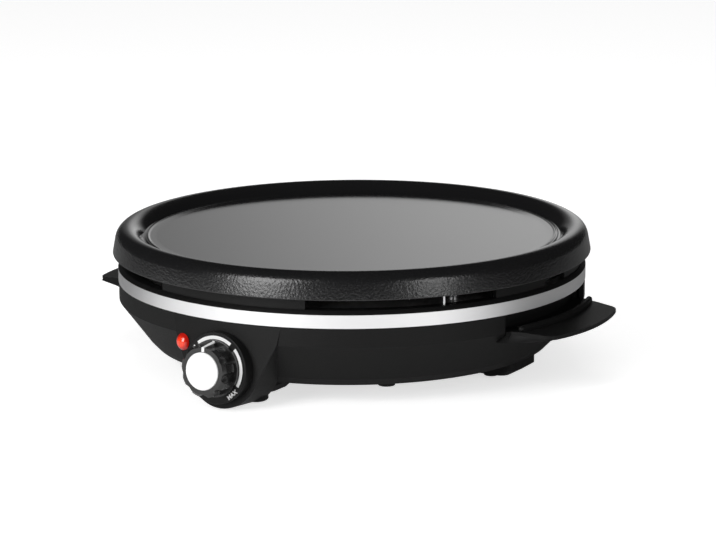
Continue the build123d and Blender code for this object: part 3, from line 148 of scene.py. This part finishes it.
class Finish(Graph):
    """One procedural material."""

    def __init__(self, name, color, roughness, metallic=0.0, **fixed):
        self.material = bpy.data.materials.new(name)
        self.material.use_nodes = True
        super().__init__(self.material.node_tree)
        self.shader = self.tree.nodes["Principled BSDF"]
        self.set("Base Color", (*color, 1.0))
        self.set("Roughness", roughness)
        self.set("Metallic", metallic)
        for socket, value in fixed.items():
            self.set(socket.replace("_", " "), value)

    def set(self, name, value):
        self.feed(self.shader.inputs[name], value)

    def place(self, scale=(1, 1, 1), middle=(0, 0, 0)):
        """The point's own coordinates in metres from a middle, times a scale."""
        found = self.node("ShaderNodeTexCoord").outputs["Object"]
        moved = self.node("ShaderNodeMapping", None, {
            "Vector": found,
            "Location": tuple(-m * s for m, s in zip(middle, scale)),
            "Scale": scale,
        })
        return moved.outputs["Vector"]

    def noise(self, scale, detail=2.0, roughness=0.5, where=None):
        node = self.node("ShaderNodeTexNoise", None, {
            "Vector": where or self.place(),
            "Scale": scale,
            "Detail": detail,
            "Roughness": roughness,
        })
        return Value(self, node.outputs[0])

    def blend(self, amount, first, second):
        """A colour part of the way from the first to the second."""
        mix = self.node("ShaderNodeMix", {"data_type": "RGBA"}, {
            "Factor": amount,
            6: first if not isinstance(first, tuple) else (*first, 1.0),
            7: second if not isinstance(second, tuple) else (*second, 1.0),
        })
        return mix.outputs[2]

    def bump(self, height, strength, distance):
        node = self.node("ShaderNodeBump", None, {
            "Height": height,
            "Strength": strength,
            "Distance": distance,
        })
        self.set("Normal", node.outputs["Normal"])

    def dress(self, *names):
        """Puts this finish on CAD nodes."""
        for name in names:
            for place in nodes[name].material_slots:
                place.material = self.material
        return self


def grey(level):
    return (level, level, level)


def round_the_axis(finish):
    """(angle round the plate's axis, distance from it, height) of a point."""
    x, y, z = finish.split(finish.place(middle=(0, axis_y, 0)))
    angle = y.sum("ARCTAN2", y, x)
    reach = (x * x + y * y).power(0.5)
    return angle, reach, z


# ---------------------------------------- finishes
rim_start, rim_end = 0.1425, 0.1500  # the coating turns softer from the face to the rim
flank_start, flank_end = 0.1555, 0.1618  # and pebbled from the rim's crest to the flank


def coating():
    """Dark non-stick coating: glossy face, softer rim, and a flank pebbled with pale flecks."""
    made = Finish("nonstick_coating", (0.012, 0.012, 0.0125), 0.3)
    reach = round_the_axis(made)[1]
    rim = reach.between(rim_start, rim_end)
    flank = reach.between(flank_start, flank_end)
    cloud = made.noise(7.0, 3.0)
    fleck = made.noise(1100.0, 1.0).between(0.58, 0.70)
    pebble = made.noise(620.0, 2.0)
    grain = made.noise(2400.0, 2.0)
    black, pale_fleck = (0.008, 0.008, 0.0084), (0.07, 0.07, 0.072)
    made.set("Base Color", made.blend(fleck * flank * 0.15, black, pale_fleck))
    made.set("Roughness", 0.07 + 0.04 * cloud + 0.01 * grain + 0.11 * rim + 0.05 * flank)
    made.bump(pebble * flank + 0.04 * grain, 0.62, 0.0004)
    return made


def moulding(name, level, low, high, grain_scale, depth):
    """Black moulded plastic with a spark-eroded grain, its roughness between low and high."""
    made = Finish(name, grey(level), low, Specular_IOR_Level=0.17)
    grain = made.noise(grain_scale, 2.0)
    cloud = made.noise(14.0, 2.0)
    made.set("Roughness", low + (high - low) * grain + 0.05 * cloud)
    made.set("Base Color", made.blend(cloud, grey(level * 0.9), grey(level * 1.15)))
    made.bump(grain, 0.3, depth)
    return made


def brushed_trim():
    """Aluminium strip, brushed round its length."""
    made = Finish("brushed_trim", grey(0.80), 0.3, 1.0)
    angle, reach, height = round_the_axis(made)
    streak = made.noise(1.0, 4.0, 0.6, made.join(angle * 12.0, reach * 900.0, height * 9000.0))
    made.set("Roughness", 0.24 + 0.16 * streak)
    made.set("Base Color", made.blend(streak, (0.78, 0.78, 0.79), (0.94, 0.94, 0.94)))
    made.bump(streak, 0.12, 0.0001)
    return made


def metal(name, color, low, high, scale=500.0):
    """Bare metal with fine marks, its roughness between low and high."""
    made = Finish(name, color, low, 1.0)
    mark = made.noise(scale, 3.0)
    made.set("Roughness", low + (high - low) * mark)
    made.set("Base Color", made.blend(mark, tuple(c * 0.8 for c in color), color))
    made.bump(mark, 0.1, 0.0001)
    return made


def glaze(name, color, roughness):
    """Smooth pale plastic, ceramic or ink."""
    made = Finish(name, color, roughness)
    mark = made.noise(300.0, 3.0)
    made.set("Base Color", made.blend(mark, tuple(c * 0.9 for c in color), color))
    made.set("Roughness", roughness + 0.08 * mark)
    made.bump(mark, 0.05, 0.0001)
    return made


def glowing_lens():
    """Red lens, lit from behind; its colour darkens towards its edge as painted shade of the dome, and
    its glow weakens there.
    """
    red, glow = (0.85, 0.10, 0.02), (0.95, 0.09, 0.03, 1.0)
    made = Finish("lens_red", red, 0.12, Coat_Weight=0.5, Emission_Color=glow)
    low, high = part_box("indicator_lens")
    across, _, up = made.split(made.place(middle=tuple((low + high) / 2)))
    # edge: 0 in the middle of the lens, 1 at its rim; the darker colour there is painted shade
    edge = (across * across + up * up).power(0.5).between(0.0012, 0.0048)
    made.set("Base Color", made.blend(edge, (0.78, 0.04, 0.008), (0.45, 0.01, 0.005)))
    made.set("Emission Color", made.blend(edge, (0.45, 0.02, 0.006), (0.06, 0.0, 0.0)))
    made.set("Emission Strength", 1.0)
    made.set("Roughness", 0.10 + 0.05 * made.noise(200.0))
    return made


nonstick = coating().dress("cooking_plate")
moulding("housing_plastic", level=0.006, low=0.42, high=0.56, grain_scale=1400.0, depth=0.00015).dress(
    "lower_housing", "bottom_cover", "right_handle", "left_handle")
moulding("ring_plastic", level=0.005, low=0.40, high=0.55, grain_scale=1400.0, depth=0.00015).dress(
    "base_ring")
moulding("dial_plastic", level=0.008, low=0.30, high=0.42, grain_scale=1400.0, depth=0.0001).dress(
    "dial_bezel")
knob_black = moulding(
    "knob_plastic", level=0.012, low=0.16, high=0.26, grain_scale=1600.0, depth=0.00005)
knob_black.set("Specular IOR Level", 0.6)
knob_black.dress("control_knob")
moulding("foot_rubber", level=0.030, low=0.70, high=0.85, grain_scale=700.0, depth=0.0002).dress(
    "right_foot", "rear_foot", "left_foot", "front_foot", "cord_inlet")
brushed_trim().dress("trim_band")
glaze("knob_cap_white", grey(0.92), roughness=0.28).dress("knob_cap", "knob_pointer")
glaze("ceramic", (0.83, 0.81, 0.76), roughness=0.25).dress("element_bushes", "terminal_block")
glaze("lamp_glass", (0.80, 0.62, 0.45), roughness=0.2).dress("indicator_lamp")
steel = metal("zinc_steel", (0.72, 0.72, 0.73), low=0.22, high=0.42).dress(
    "element_clips", "clip_screws", "support_posts", "post_screws", "cover_screws", "housing_screws",
    "handle_screws", "foot_screws", "thermostat_nut", "thermostat_shaft", "probe_strap",
    "strap_screws", "cutout_screws")
metal("element_steel", (0.32, 0.31, 0.30), low=0.38, high=0.6).dress("heating_element")
metal("brass", (0.72, 0.56, 0.30), low=0.25, high=0.4).dress("element_terminals")
metal("reflector_sheet", grey(0.40), low=0.42, high=0.55).dress("heat_reflector")
metal("pressed_case", grey(0.60), low=0.3, high=0.45).dress("thermostat", "thermal_cutout")
metal("drawn_copper", (0.72, 0.42, 0.28), low=0.25, high=0.4).dress("temperature_probe")
glowing_lens().dress("indicator_lens")
white_ink = glaze("scale_ink", grey(0.85), roughness=0.45)


# ---------------------------------------- mesh pieces
def put_in_scene(name, data):
    """Makes an object of a mesh, curve, lamp or camera and links it."""
    made = bpy.data.objects.new(name, data)
    bpy.context.scene.collection.objects.link(made)
    return made


def add_piece(name, mesh, body):
    """Puts a finished mesh in the scene, riding on a body."""
    piece = put_in_scene(name, mesh)
    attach(piece, body)
    return piece


def mesh_piece(name, build, body, material):
    """A closed mesh of the scene that rides on a body."""
    shape = bmesh.new()
    build(shape)
    bmesh.ops.recalc_face_normals(shape, faces=shape.faces)
    for face in shape.faces:
        face.smooth = True
    for edge in shape.edges:
        edge.smooth = edge.calc_face_angle(0.0) < sharp_turn
    mesh = bpy.data.meshes.new(name)
    shape.to_mesh(mesh)
    shape.free()
    mesh.materials.append(material)
    return add_piece(name, mesh, body)


def lathe(shape, outline, steps):
    """Turns a closed (radius, height) outline, in metres, round the plate's axis."""
    columns = []
    for step in range(steps):
        angle = 2 * math.pi * step / steps
        across, along = math.cos(angle), math.sin(angle)
        columns.append([shape.verts.new((r * across, axis_y + r * along, z)) for r, z in outline])
    for column, following in zip(columns, columns[1:] + columns[:1]):
        for place in range(len(outline)):
            after = (place + 1) % len(outline)
            shape.faces.new((column[place], column[after], following[after], following[place]))
    bmesh.ops.remove_doubles(shape, verts=shape.verts, dist=same_point)
    loose = [edge for edge in shape.edges if not edge.link_faces]
    bmesh.ops.delete(shape, geom=loose, context="EDGES")


def smooth_step(value, low, high):
    part = min(max((value - low) / (high - low), 0.0), 1.0)
    return part * part * (3 - 2 * part)


def bent(start, pull, push, end, steps):
    """Points of a cubic curve, without its last one."""
    found = []
    for step in range(steps):
        t = step / steps
        weights = ((1 - t) ** 3, 3 * t * (1 - t) ** 2, 3 * t * t * (1 - t), t ** 3)
        corners = (start, pull, push, end)
        found.append(tuple(sum(w * p[axis] for w, p in zip(weights, corners)) for axis in (0, 1)))
    return found


def arc(middle, radius, start, end, steps):
    """Points of an arc from one angle to another, both ends included."""
    found = []
    for step in range(steps + 1):
        turn = start + (end - start) * step / steps
        found.append((middle[0] + radius * math.cos(turn), middle[1] + radius * math.sin(turn)))
    return found


# ---------------------------------------- cooking plate, in metres
edge_z = plate_low.z  # lower edge of the skirt
crest_z = plate_high.z
plate_radius = plate_high.x
face_z = edge_z + 0.0106
under_z = face_z - 0.0062
crest_radius = 0.1519
outer_round = 0.0088
skirt_lean = math.radians(10.3)
skirt_wall = 0.0024
ring_radius, ring_height = 0.1382, 0.0004  # fine raised ring round the face
ring_spread = 0.000825  # how far from its middle the ring has fallen to about a third
dish_start, dish_rise = 0.1320, 0.00015  # the face rises a little towards the ring
dish_end, dish_step = 0.1400, 0.0002
flat_reaches = (0.0, 0.06, 0.12)  # places on the flat middle of the face
groove_inner, groove_outer, groove_depth = 0.1408, 0.1416, 0.0006
groove_bottom = face_z - groove_depth
groove_pull, groove_push = (0.1403, face_z - 0.0004), (0.1404, groove_bottom)  # down into the groove
slope_pull, slope_push = (0.1436, face_z + 0.0016), (0.1468, crest_z)  # up to the crest
skirt_foot = (
    (plate_radius - 0.00002, edge_z + 0.0007),
    (plate_radius, edge_z + 0.0005),
    (plate_radius - 0.0001, edge_z + 0.0001),
    (plate_radius - 0.0003, edge_z),
)
rim_roof = crest_z - 0.005
rim_hollow = ((0.1575, under_z), (0.1546, rim_roof), (0.1500, rim_roof), (0.1474, under_z))
element_radius, ridge_half, ridge_height, tube_bed = 0.098, 0.007, 0.004, 0.0036
post_angles = (330, 90, 210)
post_reach, post_boss_radius, post_boss_height = 0.136, 0.0065, 0.0053
boss_overlap = 0.0002
plate_steps, boss_steps = 384, 48  # round the plate and round a post's boss
groove_steps, slope_steps, round_steps, bed_steps = 5, 28, 30, 12  # along the outline's curves


def face_outline():
    """From the middle of the face out to the groove."""
    points = [(reach, face_z) for reach in flat_reaches]
    reach = dish_start
    while reach < dish_end:
        ring = ring_height * math.exp(-((reach - ring_radius) / ring_spread) ** 2)
        dish = dish_rise * smooth_step(reach, dish_start, ring_radius)
        points.append((reach, face_z + dish + ring))
        reach += dish_step
    return points


def rim_outline():
    """Through the groove, over the rim and down the skirt to its lower edge."""
    inner, outer = (groove_inner, groove_bottom), (groove_outer, groove_bottom)
    crest, round_middle = (crest_radius, crest_z), (crest_radius, crest_z - outer_round)
    points = bent((dish_end, face_z), groove_pull, groove_push, inner, groove_steps)
    points += [inner]
    points += bent(outer, slope_pull, slope_push, crest, slope_steps)
    points += arc(round_middle, outer_round, math.radians(90), skirt_lean, round_steps)
    return points + list(skirt_foot)


def under_outline():
    """From the skirt's inner edge back to the middle, round the bed of the heating element."""
    ridge_foot = under_z - ridge_height
    points = [(plate_radius - skirt_wall, edge_z), *rim_hollow]
    points += [(element_radius + ridge_half, under_z), (element_radius + ridge_half, ridge_foot)]
    points += arc((element_radius, ridge_foot), tube_bed, 0.0, math.pi, bed_steps)
    points += [(element_radius - ridge_half, ridge_foot), (element_radius - ridge_half, under_z)]
    return points + [(0.0, under_z)]


def plate_shape(shape):
    """The turned plate with the bosses of its three posts."""
    lathe(shape, face_outline() + rim_outline() + under_outline(), plate_steps)
    for angle in post_angles:
        way = math.radians(angle)
        across, along = post_reach * math.cos(way), post_reach * math.sin(way)
        middle = Vector((across, axis_y + along, under_z - post_boss_height / 2))
        bmesh.ops.create_cone(
            shape,
            cap_ends=True,
            segments=boss_steps,
            radius1=post_boss_radius,
            radius2=post_boss_radius,
            depth=post_boss_height + boss_overlap,
            matrix=Matrix.Translation(middle),
        )


plate = mesh_piece("cooking_plate_dressed", plate_shape, "base", nonstick.material)
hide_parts("cooking_plate")

# ---------------------------------------- spring tab between the ring and the plate
tab_angle = math.radians(323.6)
tab_reach = 0.1530
tab_depth, tab_thickness = 0.0040, 0.0013
tab_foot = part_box("trim_band")[1].z + 0.0024  # a little below the ring's top
tab_top = under_z - 0.0010


def spring_tab(shape):
    """Upright strip of bright sheet steel, from the ring up to the inside of the plate's skirt."""
    bmesh.ops.create_cube(shape, size=1.0)
    size = Matrix.Diagonal((tab_depth, tab_thickness, tab_top - tab_foot, 1))
    middle = Matrix.Translation((tab_reach, 0, (tab_top + tab_foot) / 2))
    round_axis = Matrix.Translation((0, axis_y, 0)) @ Matrix.Rotation(tab_angle, 4, "Z")
    bmesh.ops.transform(shape, matrix=round_axis @ middle @ size, verts=shape.verts)


mesh_piece("spring_tab", spring_tab, "base", steel.material)

# ---------------------------------------- cross-head screws, in millimetres
metre = 1000.0
screw_sides = 40
recess_inner, recess_outer = 0.16, 0.62  # corners and arms of the recess, as shares of the head
weld = 0.0001  # how near the front and the back of a head are to be joined
cross_head_sizes = {  # height of the head, radius of the shank
    "cover_screws": (1.8, 1.6),
    "housing_screws": (2.6, 2.0),
    "foot_screws": (1.6, 1.6),
    "post_screws": (2.6, 2.0),
}


def screw_tree():
    """A screw at each point of a mesh, the head down and the shank up from the point."""
    tree = bpy.data.node_groups.new("cross_head_screws", "GeometryNodeTree")
    tree.interface.new_socket("Places", in_out="INPUT", socket_type="NodeSocketGeometry")
    sizes = ("Head Radius", "Head Height", "Shank Radius", "Shank Length")
    for name in sizes:
        tree.interface.new_socket(name, in_out="INPUT", socket_type="NodeSocketFloat")
    tree.interface.new_socket("Screws", in_out="OUTPUT", socket_type="NodeSocketGeometry")
    graph = Graph(tree)
    given = graph.node("NodeGroupInput").outputs
    head_radius, head_height, shank_radius, shank_length = (Value(graph, given[name]) for name in sizes)

    def shifted(mesh, height):
        move = {"Geometry": mesh, "Translation": graph.join(0.0, 0.0, height)}
        return graph.node("GeometryNodeTransform", None, move).outputs[0]

    def round_bar(radius, length, middle):
        bar = {"Vertices": screw_sides, "Radius": radius, "Depth": length}
        return shifted(graph.node("GeometryNodeMeshCylinder", None, bar).outputs["Mesh"], middle)

    def joined(*pieces):
        together = graph.node("GeometryNodeJoinGeometry")
        for piece in pieces:
            graph.feed(together.inputs[0], piece)
        return together.outputs[0]

    # front half of the head with a four-armed hole, on a plain disc that closes the hole
    circle = graph.node("GeometryNodeCurvePrimitiveCircle", None, {
        "Resolution": screw_sides,
        "Radius": head_radius,
    })
    cross = graph.node("GeometryNodeCurveStar", None, {
        "Points": 4,
        "Inner Radius": head_radius * recess_inner,
        "Outer Radius": head_radius * recess_outer,
    })
    outline = joined(circle.outputs["Curve"], cross.outputs["Curve"])
    flat = graph.node("GeometryNodeFillCurve", None, {0: outline}).outputs["Mesh"]
    half = head_height * 0.5
    raised = graph.node("GeometryNodeExtrudeMesh", None, {
        "Mesh": flat,
        "Offset Scale": half,
        "Individual": False,
    }).outputs["Mesh"]
    back = graph.node("GeometryNodeFlipFaces", None, {"Mesh": flat}).outputs[0]
    front = graph.node("GeometryNodeMergeByDistance", None, {
        "Geometry": joined(raised, back),
        "Distance": weld,
    }).outputs[0]
    screw = joined(
        shifted(front, head_height * -1.0),
        round_bar(head_radius, half, half * -0.5),
        round_bar(shank_radius, shank_length, shank_length * 0.5),
    )
    placed = graph.node("GeometryNodeInstanceOnPoints", None, {
        "Points": given["Places"],
        "Instance": screw,
        "Scale": (1 / metre, 1 / metre, 1 / metre),
    })
    whole = graph.node("GeometryNodeRealizeInstances", None, {"Geometry": placed.outputs[0]})
    coated = graph.node("GeometryNodeSetMaterial", None, {
        "Geometry": whole.outputs[0],
        "Material": steel.material,
    })
    graph.node("NodeGroupOutput", None, {"Screws": coated.outputs[0]})
    return tree


def solid_boxes(name):
    """Lowest and highest corner of each separate solid of a CAD node, in metres, from left to right."""
    copy = bmesh.new()
    copy.from_mesh(nodes[name].data)
    bmesh.ops.remove_doubles(copy, verts=copy.verts, dist=same_point)
    left = set(copy.verts)
    boxes = []
    while left:
        solid, edge = set(), {left.pop()}
        while edge:
            corner = edge.pop()
            solid.add(corner)
            edge |= {link.other_vert(corner) for link in corner.link_edges} - solid
        left -= solid
        ways = [[corner.co[axis] for corner in solid] for axis in range(3)]
        boxes.append((Vector(map(min, ways)), Vector(map(max, ways))))
    copy.free()
    return sorted(boxes, key=lambda box: tuple(box[0]))


def cross_head_screws(name, tree, head_height, shank_radius):
    """Replaces a CAD node's screws by screws with a cross recess."""
    boxes = solid_boxes(name)
    low, high = boxes[0]
    sizes = {
        "Head Radius": (high.x - low.x) * metre / 2,
        "Head Height": head_height,
        "Shank Radius": shank_radius,
        "Shank Length": (high.z - low.z) * metre - head_height,
    }
    seats = [((a.x + b.x) / 2, (a.y + b.y) / 2, a.z + head_height / metre) for a, b in boxes]
    places = bpy.data.meshes.new(f"{name}_places")
    places.from_pydata(seats, [], [])
    grower = put_in_scene(f"{name}_places", places)
    layer = grower.modifiers.new("screws", "NODES")
    layer.node_group = tree
    for socket in tree.interface.items_tree:
        if socket.name in sizes:
            layer[socket.identifier] = sizes[socket.name]
    grown = grower.evaluated_get(bpy.context.evaluated_depsgraph_get())
    made = bpy.data.meshes.new_from_object(grown)
    bpy.data.objects.remove(grower)
    made.name = f"{name}_cross_head"
    made.materials.clear()
    made.materials.append(steel.material)
    for face in made.polygons:
        face.material_index = 0
    made.shade_smooth()
    made.set_sharp_from_angle(angle=sharp_turn)
    screws = add_piece(f"{name}_cross_head", made, "base")
    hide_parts(name)


cross_heads = screw_tree()
for name, (head_height, shank_radius) in cross_head_sizes.items():
    cross_head_screws(name, cross_heads, head_height, shank_radius)

# ---------------------------------------- printed dial marks, in metres and degrees
print_lift = 0.00004  # thickness of a printed mark
arc_inner, arc_outer = 0.01875, 0.02095
arcs = ((-42, 34), (46.5, 120), (-122, -50.5))  # start and end of each, clockwise from the top
arc_steps = 36
tick_start, tick_end = 0.01728, 0.01795
tick_width = 0.0016
dial_square = Matrix((dial_right, dial_up, dial_out)).transposed().to_4x4()


def on_dial(angle, radius, lift):
    """A point on the bezel's face: angle clockwise from the top."""
    turn = math.radians(angle)
    flat = dial_up * math.cos(turn) + dial_right * math.sin(turn)
    return dial_middle + flat * radius + dial_out * (bezel_face + lift)


def scale_arc(shape, start, end):
    """A thin closed ring sector."""
    corners = ((arc_inner, 0), (arc_outer, 0), (arc_outer, print_lift), (arc_inner, print_lift))
    rings = []
    for step in range(arc_steps + 1):
        angle = start + (end - start) * step / arc_steps
        rings.append([shape.verts.new(on_dial(angle, radius, lift)) for radius, lift in corners])
    for ring, following in zip(rings, rings[1:]):
        for side in range(len(corners)):
            after = (side + 1) % len(corners)
            shape.faces.new((ring[side], ring[after], following[after], following[side]))
    shape.faces.new(rings[0])
    shape.faces.new(rings[-1][::-1])


def dial_word(name, word, angle, radius, height):
    """A printed word whose letters have their feet outwards."""
    curve = bpy.data.curves.new(name, "FONT")
    curve.body = word
    curve.size = height * 1.4  # the font's size is that much more than the height of its capitals
    curve.align_x = "CENTER"
    curve.align_y = "CENTER"
    curve.extrude = print_lift / 2
    curve.offset = height * 0.04  # makes the strokes a little bolder
    typed = put_in_scene(name, curve)
    bpy.context.view_layer.update()
    mesh = bpy.data.meshes.new_from_object(typed)
    bpy.data.objects.remove(typed)
    middle = on_dial(angle, radius, print_lift / 2)
    turn = Matrix.Rotation(math.radians(180 - angle), 4, "Z")
    mesh.transform(Matrix.Translation(middle) @ dial_square @ turn)
    letters = bmesh.new()
    letters.from_mesh(mesh)
    bmesh.ops.remove_doubles(letters, verts=letters.verts, dist=same_point)
    letters.to_mesh(mesh)
    letters.free()
    mesh.name = name
    mesh.materials.clear()
    mesh.materials.append(white_ink.material)
    add_piece(name, mesh, "base")


def pointer_tick(shape):
    """Short stroke on the front of the knob's skirt, where the pointer ends."""
    bmesh.ops.create_cube(shape, size=1.0)
    size = Matrix.Diagonal((tick_width, tick_end - tick_start, print_lift, 1))
    from_panel = skirt_front + print_lift / 2
    middle = dial_middle + dial_up * (tick_start + tick_end) / 2 + dial_out * from_panel
    place = Matrix.Translation(middle) @ dial_square @ size
    bmesh.ops.transform(shape, matrix=place, verts=shape.verts)


for number, (start, end) in enumerate(arcs, 1):
    mesh_piece(
        f"scale_arc_{number}",
        lambda shape: scale_arc(shape, start, end),
        "base",
        white_ink.material,
    )
dial_word("scale_high_mark", "MAX", angle=139, radius=0.0208, height=0.0028)
mesh_piece("pointer_tick", pointer_tick, "knob", white_ink.material)

# ---------------------------------------- floor and surroundings
camera_turn = math.radians(31.3)  # the camera stands this far round from the front, towards the right
floor_half = 6.0
floor_white = 0.66  # light that the floor adds where the camera sees it
floor_glow = 0.45  # the same where something glossy reflects it
far_glow = 0.6  # share of that on the floor far behind the object
far_start, far_end = 1.0, 2.0  # where that part of the floor begins and is complete
bright_turn = math.radians(14)  # the side of the floor that is bright in reflections
bright_way = (math.sin(bright_turn), -math.cos(bright_turn))
bright_start, bright_end = -0.05, 0.30
soft_level = 0.30  # strength of the surroundings as light on the object
mirror_level = 0.02  # the same as seen in a reflection
window_level = 1.06  # what the window adds to either
lamp_aim = Vector((0, 0, 0.06))  # what the lamps face
sensor_width = 36.0  # of the camera, in millimetres


def studio_floor():
    """Pale floor that is white for the camera and fades out in reflections."""
    mesh = bpy.data.meshes.new("studio_floor")
    corners = [(x * floor_half, y * floor_half, 0.0) for x, y in ((-1, -1), (1, -1), (1, 1), (-1, 1))]
    mesh.from_pydata(corners, [], [(0, 1, 2, 3)])
    put_in_scene("studio_floor", mesh)
    pale = Finish("pale_floor", grey(0.80), 0.9, Specular_IOR_Level=0.0)
    pale.set("Emission Color", (1.0, 1.0, 1.0, 1.0))
    x, y, _ = pale.split(pale.place(middle=(0, axis_y, 0)))
    front = (x * bright_way[0] + y * bright_way[1]).between(bright_start, bright_end)
    far = (y * math.cos(camera_turn) - x * math.sin(camera_turn)).between(far_start, far_end)
    seen, mirrored, clear = pale.rays()
    # in reflections the floor glows on its bright side and far behind, and its colour is darker away
    # from the bright side: painted light and shade
    glow = floor_glow * (front + far_glow * far) * (mirrored + clear)
    pale.set("Emission Strength", floor_white * seen + glow)
    pale.set("Base Color", pale.blend(mirrored * (1.0 - front), grey(0.80), grey(0.40)))
    mesh.materials.append(pale.material)


def surroundings():
    """White for the camera, soft light on the object and a window behind it in reflections."""
    world = bpy.data.worlds.new("studio")
    world.use_nodes = True
    bpy.context.scene.world = world
    sky = Graph(world.node_tree)
    x, y, z = sky.split(sky.node("ShaderNodeTexCoord").outputs["Generated"])
    across = x * math.cos(camera_turn) + y * math.sin(camera_turn)
    behind = y * math.cos(camera_turn) - x * math.sin(camera_turn)
    turn = across.sum("ARCTAN2", across, behind)  # 0 straight behind the object, more to its right
    brighter_right = 0.2 + 0.8 * turn.between(-0.16, 0.10)
    wide = turn.near(middle=0.02, half=0.12, edge=0.22)
    tall = z.near(middle=0.16, half=0.12, edge=0.16)
    window = brighter_right * wide * tall
    seen, mirrored, _ = sky.rays()
    level = soft_level + (mirror_level - soft_level) * mirrored + window_level * window
    background = world.node_tree.nodes["Background"].inputs
    sky.feed(background["Color"], (1.0, 1.0, 1.0, 1.0))
    sky.feed(background["Strength"], level.sum("MAXIMUM", level, seen))


def softbox(name, turn, distance, height, size, radiance):
    """A lit panel that faces the object, its turn in degrees from the camera's side to the right."""
    way = camera_turn + math.radians(turn)
    place = Vector((math.sin(way) * distance, axis_y - math.cos(way) * distance, height))
    data = bpy.data.lights.new(name, "AREA")
    data.shape = "RECTANGLE"
    data.size, data.size_y = size
    data.energy = radiance * math.pi * size[0] * size[1]
    lamp = put_in_scene(name, data)
    lamp.location = place
    lamp.rotation_euler = (lamp_aim - place).to_track_quat("-Z", "Y").to_euler()
    return lamp


def add_camera(place, turns, lens):
    """The camera: its place in metres, its turns in degrees and its lens in millimetres."""
    data = bpy.data.cameras.new("camera")
    data.sensor_width = sensor_width
    data.lens = lens
    camera = put_in_scene("camera", data)
    camera.location = place
    camera.rotation_euler = tuple(math.radians(turn) for turn in turns)
    bpy.context.scene.camera = camera


studio_floor()
surroundings()
softbox("left_softbox", turn=-42, distance=1.5, height=0.62, size=(0.62, 1.0), radiance=8.9)
softbox("right_softbox", turn=37, distance=1.6, height=0.5, size=(0.35, 0.7), radiance=6.5)
top = softbox("top_softbox", turn=180, distance=0.4, height=1.7, size=(1.0, 1.0), radiance=1.2)
top.visible_glossy = False
add_camera(
    place=(1.004544, axis_y - 1.639267, 0.490986),
    turns=(77.3537, 0.3882, 31.2895),
    lens=145.079,
)
bpy.context.scene.view_settings.view_transform = "Standard"
